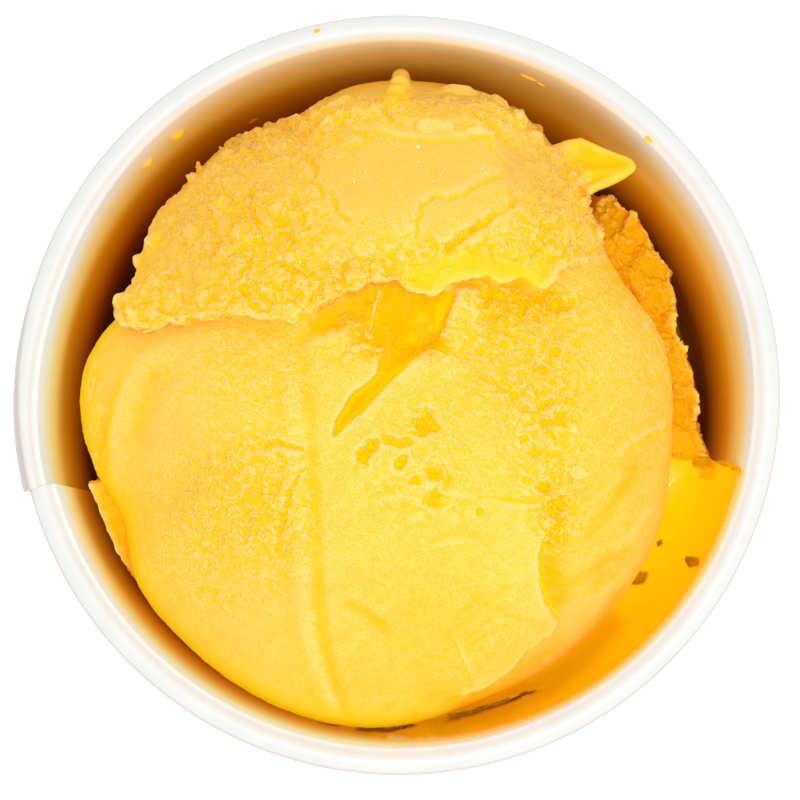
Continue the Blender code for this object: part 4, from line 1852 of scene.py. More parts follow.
@dataclass
class ScoopBody(ScoopPiece):
    """The ball that the scoop left, with its torn hollow, slit, seam, plates and pits."""

    channel_px: tuple = (
        (332, 438, 1.5), (340, 424, 4.6), (350, 411, 7.6), (358, 401, 8.8), (370, 390, 7.4),
        (382, 379, 6.4), (390, 366, 12.0), (402, 350, 15.0), (417, 333, 17.0), (428, 316, 18.0),
        (438, 298, 16.0),
    )
    channel_depth: tuple = (1.1, 0.8)
    forms: tuple = (
        Stroke(((352, 726), (328, 690), (310, 640), (301, 589), (297, 520), (295, 455), (292, 400),
                (290, 350)), 0.42, 1.2, 0.1, 0.1),
        Stroke(((353, 730), (340, 699), (330, 669), (322, 635), (318, 589), (315, 520), (311, 430),
                (305, 380), (302, 335)), -0.2, 0.8, 0.1, 0.1),
        Stroke(((190, 335), (142, 361), (126, 402), (117, 442), (117, 473), (126, 508)),
               0.9, 1.1, 0.1, 0.4),
        Stroke(((200, 352), (160, 380), (145, 415), (138, 450), (140, 490)), -0.4, 1.4, 0.1, 0.4),
        Stroke(((430, 702), (475, 686), (498, 672), (514, 658), (526, 643), (546, 630), (553, 615),
                (541, 598), (534, 566), (538, 540), (550, 505), (545, 480)), 1.1, 0.7, 0.25, 0.2, 7.0),
        Stroke(((335, 596), (365, 612), (398, 637)), -0.15, 0.7, 0.1, 0.3),
        Stroke(((470, 300), (500, 300), (540, 300), (575, 290)), -0.6, 1.8, 0.1, 0.3),
        Stroke(((470, 276), (455, 292), (443, 311), (440, 326), (432, 343)), 0.8, 1.0, 0.2, 0.3, 4.0),
        Stroke(((490, 372), (470, 363), (450, 354), (438, 348), (427, 347), (412, 356), (398, 372),
                (384, 386), (370, 404), (360, 414), (350, 424), (340, 431), (332, 438)),
               0.5, 0.5, 0.15, 0.3, 4.0),
        Stroke(((473, 282), (472, 305), (476, 330), (482, 352)), 0.5, 0.9, 0.25),
        Stroke(((380, 284), (376, 300), (372, 318), (370, 332)), 0.3, 0.22, 0.25),
        Stroke(((600, 265), (632, 330), (640, 400), (632, 470)), 0.25, 2.4, 0.1, 0.3),
        Dent((340, 312), (46, 13), 30.0, 0.8, 0.1, 1.5, 0.1),
        Dent((398, 322), (46, 34), 0.0, 1.3, 0.0, 1.5, 0.06),
        Dent((424, 328), (24, 26), 0.0, 0.7, 0.0, 1.5, 0.1),
    )
    strokes: tuple = (
        Stroke(((305, 450), (290, 446), (277, 442), (268, 442), (262, 449)), -0.35, 0.2, 0.15, 0.1),
        Stroke(((262, 455), (277, 449), (305, 457)), 0.35, 0.45, 0.1, 0.3),
        Stroke(((281, 562), (278, 551), (279, 528), (282, 516), (291, 494), (297, 478), (306, 462)),
               -0.35, 0.26, 0.3),
        Stroke(((269, 540), (272, 516), (281, 494), (290, 470)), 0.3, 0.6, 0.3, 0.3),
        Stroke(((369, 503), (390, 498), (408, 493)), 0.16, 0.5, 0.1, 0.3),
        Stroke(((417, 480), (442, 491), (481, 498)), 0.2, 0.45, 0.1, 0.3),
        Stroke(((405, 521), (428, 514)), 0.14, 0.5, 0.1, 0.3),
        Stroke(((430, 545), (455, 541), (485, 540)), 0.1, 0.4, 0.1, 0.3),
        Stroke(((628, 443), (650, 430), (670, 422)), 0.2, 0.4, 0.1, 0.3),
        Stroke(((600, 470), (630, 440), (668, 412)), 0.15, 0.5, 0.1, 0.3),
        Stroke(((600, 560), (630, 535), (655, 500)), 0.15, 0.6, 0.1, 0.3),
        Stroke(((575, 600), (610, 575), (640, 540)), -0.15, 0.8, 0.1, 0.3),
        Stroke(((230, 350), (205, 400), (195, 440)), 0.12, 1.0, 0.1, 0.3),
        Stroke(((548, 356), (570, 340), (582, 318)), 0.3, 0.5, 0.4, 0.3),
    )
    # Painted shade lines along folds, grooves and plate edges.
    painted_shade_lines: tuple = (
        Stroke(((196, 348), (154, 374), (138, 410), (129, 448), (131, 488)), -0.2, 0.8),
        Stroke(((128, 372), (110, 410), (102, 450), (104, 490)), -0.5, 0.9),
        Stroke(((560, 495), (552, 535), (550, 570), (563, 612)), -0.9, 1.2, 0.3),
        Stroke(((440, 714), (500, 692), (538, 661), (572, 626)), -0.6, 1.1, 0.3),
        Stroke(((580, 545), (600, 520), (622, 490), (640, 455)), -0.5, 0.7, 0.3),
        Stroke(((560, 590), (590, 572), (620, 548)), -0.4, 0.6, 0.3),
        Stroke(((575, 640), (600, 615), (625, 585)), -0.4, 0.5, 0.3),
        Stroke(((340, 598), (368, 612), (398, 637), (420, 660)), -0.1, 0.6),
        Stroke(((150, 338), (200, 328), (243, 324), (300, 334)), -0.35, 0.6),
        Stroke(((330, 312), (350, 302), (375, 288)), -0.5, 0.7),
    )
    dents: tuple = (
        Dent((364, 456), (16, 8), 55.0, 0.6),
        Dent((374, 446), (14, 6), 50.0, 0.4),
        Dent((424, 424), (15, 14), -20.0, 0.8),
        Dent((389, 441), (7, 5), 0.0, 0.35),
        Dent((405, 443), (10, 6), 10.0, 0.4),
        Dent((400, 463), (10, 6), 55.0, 0.5),
        Dent((438, 475), (16, 11), -30.0, 0.4, 0.2, 1.3),
        Dent((416, 481), (8, 5), 10.0, 0.35),
        Dent((434, 499), (13, 10), 20.0, 0.35, 0.2, 1.3),
        Dent((480, 512), (4, 4), 0.0, 0.3),
        Dent((528, 481), (6, 4), 0.0, 0.35),
        Dent((525, 439), (6, 5), 15.0, 0.4),
        Dent((536, 453), (8, 6), 0.0, 0.4, 0.2, 1.3),
        Dent((541, 368), (8, 6), -10.0, 0.5),
        Dent((556, 352), (6, 5), 0.0, 0.5),
        Dent((514, 397), (6, 6), 0.0, 0.4),
        Dent((526, 409), (4, 4), 0.0, 0.4),
        Dent((550, 403), (9, 6), 30.0, 0.4),
        Dent((545, 424), (8, 6), 0.0, 0.5),
        Dent((562, 420), (12, 9), 0.0, 0.4, 0.2, 1.3),
        Dent((500, 385), (12, 8), -30.0, 0.35, 0.2, 1.3),
        Dent((545, 488), (8, 7), 0.0, 0.55),
        Dent((555, 508), (13, 12), 0.0, 0.6, 0.2, 1.3),
        Dent((494, 293), (14, 8), 0.0, 0.5),
        Dent((560, 303), (16, 9), 20.0, 0.5, 0.2, 1.3),
        Dent((214, 592), (9, 5), -10.0, 0.4),
        Dent((200, 590), (6, 4), 30.0, 0.3),
    )
    bits: tuple = (
        Bit((159, 328), (20, 4.5), 0.3, 7.0, 0.35),
        Bit((578, 472), (10, 7), 0.5, 0.0, 0.0),
        Bit((380, 349), (5, 3.5), 0.3, 20.0, 0.0),
        Bit((368, 334), (4, 6), 0.3, 20.0, 0.0),
        Bit((365, 346), (5, 4), 0.3, -20.0, 0.0),
        Bit((355, 349), (5, 4), 0.25, 20.0, 0.0),
        Bit((348, 356), (4, 4), 0.25, 0.0, 0.0),
        Bit((343, 316), (7, 2.5), 0.2, 30.0, 0.0),
    )
    crags: tuple = (
        ((345, 352), (30, 14), 0.35), ((370, 322), (40, 22), 0.2), ((520, 335), (62, 60), 0.85),
        ((545, 430), (34, 75), 0.75), ((552, 500), (22, 40), 0.9), ((600, 300), (45, 60), 0.35),
        ((225, 510), (70, 75), 0.6), ((262, 500), (42, 75), 0.85), ((214, 598), (26, 13), 0.6),
        ((420, 450), (75, 60), 0.2), ((235, 375), (75, 45), 0.25), ((655, 340), (22, 90), 0.4),
        ((92, 430), (14, 90), 0.35),
    )
    flecks: tuple = (
        ((225, 510), (85, 85), 0.9), ((255, 375), (70, 50), 0.5), ((530, 360), (75, 95), 0.8),
        ((430, 420), (80, 70), 0.35), ((620, 360), (60, 120), 0.4), ((560, 500), (30, 60), 0.7),
    )
    # Frost zones, which also stand for shade on the right-hand edge.
    frost_and_shade_zones: tuple = (
        ((165, 420), (60, 110), 0.4), ((640, 380), (24, 110), 0.15), ((240, 610), (110, 60), 0.3),
        ((560, 640), (60, 50), 0.3),
    )
    # Painted shade: deep yellow zones in the hollow under the flap, by the slit, on the lower body and at the
    # edges.
    painted_shade_zones: tuple = (
        ((342, 314), (48, 15), 0.9), ((395, 312), (60, 40), 1.0), ((420, 330), (28, 32), 1.0),
        ((385, 345), (30, 24), 0.8), ((520, 296), (66, 20), 0.6), ((545, 420), (30, 70), 0.3),
        ((552, 505), (12, 24), 0.6), ((620, 260), (34, 40), 0.35), ((340, 560), (90, 160), 0.12),
        ((420, 640), (170, 90), 0.55), ((400, 540), (120, 90), 0.3), ((610, 500), (60, 140), 0.4),
        ((85, 360), (20, 80), 0.5),
    )
    torn_px: tuple = ((530, 350), (70, 90))
    plate_size: float = 3.4
    fibre_size: float = 1.7
    crumb_sizes: tuple = (1.1, 0.7)

    def channel(self, x: Array, y: Array, wobble: Array | float) -> tuple[Array, Array]:
        """The slit's cut at plan points.

        Args:
            x: The points' x.
            y: The points' y.
            wobble: Uneven relief at the points, which makes the sides ragged.

        Returns:
            How deep it is, from 0 to 1, and the share of the slit's length passed.
        """
        rows = np.array(self.channel_px)
        off, share = beside(self.plan(rows[:, :2]), x, y)
        lengths = np.hypot(*np.diff(rows[:, :2], axis=0).T)
        passed = np.concatenate(([0.0], np.cumsum(lengths))) / lengths.sum()
        half = np.interp(share, passed, rows[:, 2]) * VIEW.scale
        off = (off + 0.1 * wobble) / half
        soft = ease(share, 0.42, 0.6)
        left = 1.0 - ease(off, 0.8 - 0.7 * soft, 1.2 + 0.6 * soft)
        right = 1.0 - ease(-off, 0.8 - 0.6 * soft, 1.15 + 0.2 * soft)
        return np.where(off > 0.0, left, right) * ease(share, 0.0, 0.05), share

    def sunken_shade(self, x: Array, y: Array) -> Array:
        """Where painted shade colours the slit's floor deep yellow, from 0 to 1."""
        cut, _ = self.channel(x, y, 0.0)
        return ease(cut, 0.2, 0.9)

    def surface(self, points: Array, side: Array) -> Array:
        """The body's crags, fibres, crumbs and slit.

        Args:
            points: Where to look.
            side: How far each point lies inside the flap's torn edge; not used here.

        Returns:
            Their height.
        """
        x, y = points[:, 0], points[:, 1]
        rough = 0.03 + self.zones(self.crags, x, y)
        moved = bent(points, 1.8, 0.3)
        torn = self.zones(((*self.torn_px, 1.0),), x, y)
        fibres = fractal(stretched(moved, 3.0, 75.0), self.fibre_size, 3)
        rough_edge = 0.12 * fractal(points + 60.0, 0.9, 2)
        torn_plates = fractal(stretched(moved + 30.0, 1.4, -50.0), self.plate_size, 2)
        plates = flakes(torn_plates + rough_edge, 2.0, 0.2)
        crumbly = fractal(stretched(moved, 1.8, -30.0), 0.75, 3)
        heap = 0.4 * ease(crumbly, 0.0, 0.6) + 0.7 * rubble(moved, self.crumb_sizes, 0.5)
        height = rough * ((0.45 - 0.15 * torn) * plates + heap + 0.3 * torn * fibres - 0.2)
        height += 0.05 * fractal(points, 5.0, 2) + 0.05 * fractal(stretched(points + 11.0, 5.0, 40.0), 1.6, 2)
        cut, share = self.channel(x, y, fractal(points, 1.2, 3))
        shallow, deep = self.channel_depth
        return height * (1.0 - 0.8 * cut) - cut * (shallow + (deep - shallow) * ease(share, 0.3, 0.8))

    def build(self) -> Piece:
        """Model the body.

        Returns:
            The finished piece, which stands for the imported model's scoop.
        """
        ball = self.blank("scoop_body", flap=False)
        points, normals = self.ball_points(ball)
        side = self.flap_side(points[:, 0], points[:, 1])
        upper = ease(normals[:, 2], 0.02, 0.3)
        wobble = fractal(points, 1.6, 3)
        covered = ease(side, 0.4, 2.4) * (1.0 - ease(points[:, 0], 16.0, 22.0))
        height = -1.3 * covered
        for stroke in self.forms:
            height += stroke.relief(self.plan, points[:, 0], points[:, 1], wobble)
        write_points(ball, points + normals * (height * upper)[:, None])
        self.look_at(ball)
        self.roughen(ball)
        self.add_bits(ball)
        self.colour_in(ball)
        return self.put_in(ball)


PLATE_EDGE_PX = (
    (415, 243), (417, 222), (421, 206), (436, 198), (449, 200), (463, 196), (474, 188), (510, 171),
)


@dataclass
class ScoopFlap(ScoopPiece):
    """The layer that the scoop rolled over its own top, craggy on the left and smooth in front."""

    edge_share: float = 0.3
    thickness: float = 2.0
    tuck: float = 4.8
    melded: int = 4
    nub_px: tuple = ((398, 90), (393, 100), (386, 108))
    nub_reach: float = 1.3
    voxel: float = 0.17
    curl_px: tuple = ((546, 166), (637, 167))
    curl_half: tuple = (
        (0.0, 2.4), (0.38, 3.0), (0.6, 2.05), (0.8, 1.3), (0.9, 1.0), (0.96, 0.68), (1.0, 0.0),
    )
    curl_ridge_px: tuple = (612, 179)
    curl_height: float = 45.9
    plateau_px: tuple = (415, 183)
    plateau_half: tuple = (9.2, 5.6)
    plate_size: float = 4.4
    chunk_size: float = 2.8
    crumb_sizes: tuple = (2.4, 1.5, 0.9)
    lobes_px: tuple = ((404, 280), (432, 280), (463, 280), (502, 280), (534, 280))
    lobe_level: float = 60.0
    lip_x: tuple = (-1.0, 2.0, 13.0)
    strokes: tuple = (
        Stroke(((325, 120), (345, 113), (366, 110), (384, 107)), 0.5, 0.5),
        Stroke(((381, 105), (393, 123)), -0.5, 0.3),
        Stroke(((389, 113), (410, 124), (440, 122), (470, 122), (505, 130)), 0.45, 0.6),
        Stroke(((340, 128), (380, 131), (405, 139), (440, 140), (470, 139), (500, 134)),
               0.35, 0.35, 0.15, 0.15, 2.5),
        Stroke(((545, 160), (525, 135), (505, 118), (480, 106), (455, 100)), 0.5, 0.9),
        Stroke(((540, 170), (515, 145), (492, 128), (465, 114)), -0.4, 0.5),
        Stroke(((381, 105), (398, 102), (413, 96)), -0.4, 0.4),
        Stroke(((558, 165), (573, 174), (587, 197), (596, 213), (602, 240)), 0.4, 0.5, 0.4, 0.15, 2.0),
        Stroke(((488, 139), (497, 155), (510, 171)), -0.3, 0.2),
        Stroke(PLATE_EDGE_PX, 0.3, 0.3, 0.3, 0.1, 4.0),
        Stroke(PLATE_EDGE_PX, -0.32, 0.28, 0.3, 0.1),
        Stroke(((500, 211), (488, 222), (475, 228), (464, 237), (449, 249), (440, 257)),
               -0.6, 0.4, 0.45, 0.2),
        Stroke(((524, 203), (500, 217), (478, 233), (455, 250), (438, 262)), 0.3, 0.35, 0.15, 0.15, 3.0),
        Stroke(((396, 216), (399, 228)), -0.15, 0.18, 0.6),
        Stroke(((409, 212), (414, 228)), -0.15, 0.18, 0.6),
        Stroke(((361, 226), (368, 219)), -0.2, 0.18),
        Stroke(((300, 147), (309, 157), (316, 166), (314, 178)), -0.6, 0.28, 0.2),
        Stroke(((292, 150), (303, 160), (309, 172)), 0.35, 0.5, 0.2),
        Stroke(((300, 177), (318, 183), (325, 198)), -0.45, 0.25, 0.2),
        Stroke(((330, 188), (338, 212), (352, 224)), -0.35, 0.25, 0.25),
        Stroke(((507, 186), (513, 200), (512, 214)), -0.5, 0.3, 0.2),
        Stroke(((238, 284), (250, 302), (262, 318)), -0.6, 0.35, 0.2),
        Stroke(((252, 178), (249, 205), (262, 232)), -0.6, 0.4, 0.3),
        Stroke(((290, 195), (300, 215), (310, 232)), -0.5, 0.4, 0.3),
        Stroke(((205, 205), (214, 230), (210, 258)), -0.45, 0.35, 0.3),
        Stroke(((270, 262), (290, 268), (318, 280)), -0.45, 0.35, 0.3),
        Stroke(((330, 262), (350, 268), (372, 262), (390, 266)), -0.35, 0.35, 0.3),
    )
    bits: tuple = (
        Bit((401, 80), (9.5, 9.5), 0.95, 0.0, 0.3, 0.05),
        Bit((400, 87), (11, 10), 1.1, 0.0, 0.2, 0.05),
        Bit((397, 94), (13, 10), 1.2, 0.0, 0.0, 0.05),
        Bit((393, 101), (14, 10), 1.2, 0.0, -0.3, 0.08),
        Bit((386, 108), (13, 9), 1.1, 30.0, -0.5, 0.1),
        Bit((460, 92), (24, 9), 1.4, -8.0, -0.6),
        Bit((497, 103), (20, 10), 1.3, -30.0, -0.4),
        Bit((519, 121), (13, 13), 1.3, 0.0, -0.3, 0.1),
        Bit((535, 142), (13, 11), 1.2, 0.0, -0.3),
        Bit((552, 157), (14, 9), 1.2, -30.0, -0.2),
        Bit((570, 180), (10, 10), 1.0, -50.0, -0.1),
        Bit((198, 166), (6.0, 6.0), 0.6, 0.0, 0.1, 0.06),
        Bit((193, 179), (9, 8), 0.8, 20.0, 0.1, 0.08),
        Bit((240, 150), (20, 9), 0.9, 35.0, -0.4, 0.35),
        Bit((272, 134), (18, 8), 0.9, 30.0, -0.4, 0.35),
        Bit((306, 119), (18, 8), 0.9, 25.0, -0.5, 0.35),
        Bit((340, 102), (16, 7), 0.9, 25.0, -0.4, 0.35),
        Bit((152, 240), (10, 12), 0.9, -30.0, -0.1, 0.3),
        Bit((140, 262), (8, 12), 0.8, -25.0, -0.1, 0.3),
        Bit((118, 292), (8, 9), 0.8, 0.0, 0.1, 0.4),
        Bit((136, 312), (11, 7), 0.8, 30.0, 0.1, 0.4),
        Bit((158, 316), (12, 7), 0.7, 0.0, 0.2, 0.4),
        Bit((124, 300), (12, 7), 0.8, -20.0, 0.1, 0.3),
        Bit((353, 141), (11, 9), 0.5, 0.0, 0.1),
        Bit((434, 130), (17, 6), 0.5, 5.0, 0.3),
        Bit((480, 134), (16, 4), 0.4, 8.0, 0.2),
        Bit((547, 201), (11, 7), 0.7, 5.0, 0.2),
        Bit((593, 236), (14, 10), 0.8, -40.0, 0.0),
        Bit((222, 208), (16, 14), 0.6, 20.0, 0.0),
        Bit((270, 190), (12, 9), 0.5, 0.0, 0.1),
    )
    crags: tuple = (
        ((235, 225), (85, 85), 0.9), ((190, 285), (75, 40), 0.9), ((330, 285), (90, 30), 0.9),
        ((565, 215), (50, 75), 0.9), ((270, 132), (100, 48), 0.9), ((520, 125), (48, 36), 0.6),
        ((400, 250), (60, 22), 0.5), ((490, 246), (48, 24), 0.6), ((420, 105), (120, 18), 0.45),
    )
    flecks: tuple = (
        ((235, 235), (100, 100), 0.8), ((340, 285), (90, 34), 0.8), ((555, 210), (50, 80), 0.8),
        ((430, 105), (140, 30), 0.6), ((270, 132), (100, 48), 0.8), ((490, 246), (48, 24), 0.4),
    )
    # Frost zones, which also stand for shade on the top.
    frost_and_shade_zones: tuple = (
        ((430, 97), (100, 18), 1.0), ((250, 160), (90, 50), 0.7), ((190, 240), (45, 60), 0.6),
        ((530, 170), (45, 45), 0.85), ((410, 170), (120, 60), 0.4),
    )
    # Painted shade: deep yellow zones under the lip, in the crags and round the nub.
    painted_shade_zones: tuple = (
        ((420, 262), (40, 14), 0.5), ((455, 250), (40, 14), 0.5), ((300, 235), (40, 30), 0.35),
        ((540, 245), (30, 30), 0.4), ((250, 290), (60, 20), 0.3), ((397, 96), (15, 13), 0.9),
        ((150, 290), (30, 40), 0.3),
    )

    def surface(self, points: Array, side: Array) -> Array:
        """The flap's crags: torn plates, crumbs and the cracks between them.

        Args:
            points: Where to look.
            side: How far each point lies inside the flap's torn edge.

        Returns:
            Their height.
        """
        x, y = points[:, 0], points[:, 1]
        rough = 0.03 + self.zones(self.crags, x, y)
        middle = self.plan([self.plateau_px])[0]
        flat_x, flat_y = self.plateau_half
        rough *= 1.0 - 0.9 * np.exp(-(((x - middle[0]) / flat_x) ** 4 + ((y - middle[1]) / flat_y) ** 4))
        rough += 0.3 * bell(side - 0.6, 1.2) * (1.0 - ease(x, -2.0, 2.0))
        rough = np.clip(rough, 0.0, 1.0) * (1.0 - self.on_curl(points)) * ease(side, -0.5, 0.2)
        moved = bent(points, 1.6, 0.55)
        rough_edge = 0.12 * fractal(points + 60.0, 0.9, 2)
        plates = flakes(fractal(moved + 50.0, self.plate_size, 2) + rough_edge, 2.0, 0.2)
        torn = ease(fractal(moved + 90.0, 3.4, 2), -0.3, 0.25)
        grit = ease(fractal(stretched(moved + 15.0, 1.5, -35.0), 0.75, 3), -0.1, 0.6)
        heap = 0.45 * chunks(moved, self.chunk_size) + (0.08 + 0.37 * torn) * grit
        heap += rubble(moved + 15.0, self.crumb_sizes, 0.6) + 0.2 * fractal(moved + 25.0, 1.6, 2)
        cracks = -0.3 * bell(fractal(moved + 80.0, 4.5, 2), 0.08)
        height = rough * (0.65 * plates + heap - 0.55 + cracks)
        return height + 0.05 * fractal(points, 5.0, 2) * (1.0 - self.on_curl(points))

    def sunken_shade(self, x: Array, y: Array) -> Array:
        """Painted shade: the flap's underside, deep yellow where it shows over the torn body, and the curl.
        """
        under = 1.0 - ease(self.flap_side(x, y), -0.7, 0.1)
        return np.maximum(under, 0.85 * self.on_curl(np.stack([x, y], axis=1)))

    def covered(self, points: Array, side: Array) -> Array:
        """The flap's underside and the curl, which get no painted glow."""
        return np.maximum(1.0 - ease(side, -0.3, 0.3), self.on_curl(points))

    def on_curl(self, points: Array) -> Array:
        """Where the smooth curl is.

        Args:
            points: Where to look.

        Returns:
            The share, from 0 to 1.
        """
        root = VIEW.on_level(*self.curl_px[0], self.curl_height)
        lean = points[:, 0] - 0.5 * (root[1] - points[:, 1])
        return ease(lean, root[0] + 2.6, root[0] + 3.6) * (points[:, 1] > root[1] - 5.5)

    def wetness(self, points: Array, side: Array) -> Array:
        """How wet the flap is: on its melted front lip, its curl and the nub at the top.

        Args:
            points: Where to look.
            side: How far each point lies inside the flap's torn edge.

        Returns:
            The share, from 0 to 1.
        """
        x = points[:, 0]
        start, full, end = self.lip_x
        lip = bell(side - 0.6, 1.5) * ease(x, start, full) * (1.0 - ease(x, end, end + 3.0))
        wet = lip + 0.8 * self.on_curl(points)
        for bit in self.bits[:4]:
            place = self.plan([bit.at_px])[0]
            wet = np.maximum(wet, 0.8 * bell(np.hypot(x - place[0], points[:, 1] - place[1]), 0.9))
        return wet

    def make_curl(self) -> Piece:
        """The smooth tongue that curls out over the gap at the upper right.

        Returns:
            The tongue: a broad wedge with a round tip, thick edges and a shallow trough.
        """
        curl = new_ball("curl", np.zeros(3), np.ones(3), rings=56)
        points = read_points(curl)
        root = VIEW.on_level(*self.curl_px[0], self.curl_height)
        tip = VIEW.on_level(*self.curl_px[1], self.curl_height + 0.6)
        axis = (tip - root) / np.linalg.norm(tip - root)
        across = np.cross((0.0, 0.0, 1.0), axis)
        above = np.cross(axis, across)
        share = np.clip((points[:, 2] + 1.0) / 2.0, 0.0, 1.0)
        away = np.maximum(np.hypot(points[:, 0], points[:, 1]), 1e-6)
        side = points[:, 0] / away
        over = points[:, 1] / away
        width = np.interp(share, *np.array(self.curl_half).T)
        depth = 1.1 * np.clip(1.0 - share**5.0, 0.0, 1.0) ** 0.5
        place = root + np.outer(share, tip - root)
        place += np.outer(side * width, across)
        place += np.outer(over * depth, above)
        hollowed = ease(share, 0.1, 0.4) * (1.0 - ease(share, 0.7, 1.0))
        trough = 1.2 * bell(side - 0.3, 0.5) * (over > 0.0) * hollowed
        place[:, 2] += 0.4 * np.sin(3.0 * share) - trough - 0.8 * (1.0 - share) ** 2
        write_points(curl, place)
        ridge = VIEW.on_level(*self.curl_ridge_px, self.curl_height + 1.1)
        rim = new_ball("curl_rim", ridge, np.array([0.6, 0.75, 2.8]), Vector(tip - ridge))
        fuse(curl, [rim])
        return curl

    def shape(self, ball: Piece) -> None:
        """Turn the blank ball into the flap, a thick layer with a torn front edge.

        Args:
            ball: The blank.
        """
        points, normals = self.ball_points(ball)
        x, y = points[:, 0], points[:, 1]
        flat = np.stack([x, y, np.zeros(x.shape)], axis=1)
        ragged = 0.4 * fractal(flat, 2.2, 4) + 0.2 * fractal(flat + 31.0, 0.8, 2)
        start, full, end = self.lip_x
        smooth_lip = ease(x, start, full) * (1.0 - ease(x, end, end + 4.0))
        lobes = np.zeros(x.shape)
        for middle in VIEW.route(self.lobes_px, self.lobe_level):
            lobes = np.maximum(lobes, bell(x - middle[0], 1.0))
        side = self.flap_side(x, y) + ragged * (1.0 - 0.85 * smooth_lip) + 0.25 * smooth_lip * lobes
        alive = (1.0 - ease(x, 14.0, 22.0)) * ease(x, -30.5, -25.5)
        over = self.thickness * (1.0 - ease(side, 2.5, 15.0)) + 0.5 * bell(side - 0.9, 0.8)
        over = over * alive - 0.9 * (1.0 - alive) * (1.0 - ease(side, 2.0, 6.0))
        rise = ease(side, -0.22, 0.22)
        upper = ease(normals[:, 2], 0.02, 0.3)
        height = over * rise * upper - self.tuck * (1.0 - rise)
        points = points + normals * height[:, None]
        reach = (0.7 + 1.0 * bell(x - 3.0, 9.0)) * alive
        points[:, 1] -= reach * ease(side, -0.1, 0.3) * (1.0 - ease(side, 0.8, 3.0)) * upper
        write_points(ball, points)

    def build(self) -> Piece:
        """Model the flap.

        Returns:
            The finished piece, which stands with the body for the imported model's scoop.
        """
        ball = self.blank("scoop_flap", flap=True)
        self.shape(ball)
        self.look_at(ball)
        self.add_bits(ball, [self.make_curl()])
        remesh(ball, self.voxel)
        rough_union = read_points(ball)
        soft = smoothed(ball, rough_union, self.melded)
        away = np.min([np.hypot(*(soft[:, :2] - place).T) for place in self.plan(self.nub_px)], axis=0)
        nub = bell(away, self.nub_reach)[:, None]
        write_points(ball, soft + nub * (smoothed(ball, soft, 8 * self.melded) - soft))
        self.roughen(ball)
        self.colour_in(ball)
        return self.put_in(ball)


# --- Loose bits ---


@dataclass
class WallMarks:
    """Drops and thin smears of ice cream on the cup's inner wall and lip.

    Each is a pixel, half sizes in pixels, half a thickness in millimetres and a turn in degrees.
    """

    drops: tuple = (
        ((178, 134), (8.0, 4.5), 0.45, 40.0),
        ((147, 163), (7.0, 1.6), 0.3, 55.0),
        ((528, 77), (9.0, 2.0), 0.2, -28.0),
        ((541, 84), (5.0, 1.2), 0.15, -32.0),
        ((253, 121), (6.0, 4.5), 0.06, 70.0),
    )
    lip_drops: tuple = (
        ((650, 138), (5.0, 4.0), 0.1, 0.0),
        ((317, 31), (4.0, 2.4), 0.1, 10.0),
    )

    def build(self) -> Piece:
        """Model the marks.

        Returns:
            One object with all of them.
        """
        marks = []
        for at_px, half_px, thickness, turn in self.drops:
            place = CUP.on_wall(*at_px)
            out = np.array([-place[0], -place[1], 2.5])
            marks.append(self.mark(place, out, half_px, thickness, turn))
        for at_px, half_px, thickness, turn in self.lip_drops:
            place = VIEW.on_level(*at_px, CUP.height)
            middle = CUP.rim_diameter / 2.0 - CUP.roll_radius
            off = math.hypot(place[0], place[1]) - middle
            place[2] -= CUP.roll_radius - math.sqrt(max(CUP.roll_radius**2 - off**2, 0.0))
            marks.append(self.mark(place, np.array([0.0, 0.0, 1.0]), half_px, thickness, turn))
        first = marks[0]
        fuse(first, marks[1:])
        first.name = "wall_marks"
        write_shares(first, hollow=0.5, wet=0.6)
        shade(first, 60.0)
        dress(first, Finish.ICE_CREAM.value.make())
        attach(first, "root")
        return first

    @staticmethod
    def mark(place: Array, out: Array, half_px: tuple, thickness: float, turn: float) -> Piece:
        """One flat drop.

        Args:
            place: Its middle, in millimetres.
            out: The way that the surface under it faces.
            half_px: Its half sizes in pixels of the photograph.
            thickness: Its half thickness in millimetres.
            turn: The turn of its long side in the picture, in degrees.

        Returns:
            The drop.
        """
        half = np.array([half_px[0] * VIEW.scale, half_px[1] * VIEW.scale, thickness])
        drop = new_ball("mark", np.zeros(3), half, rings=12)
        points = laid_flat(drop, out / np.linalg.norm(out), turn)
        points *= 1.0 + 0.3 * fractal(points + place, 0.7, 2)[:, None]
        write_points(drop, points + place)
        return drop


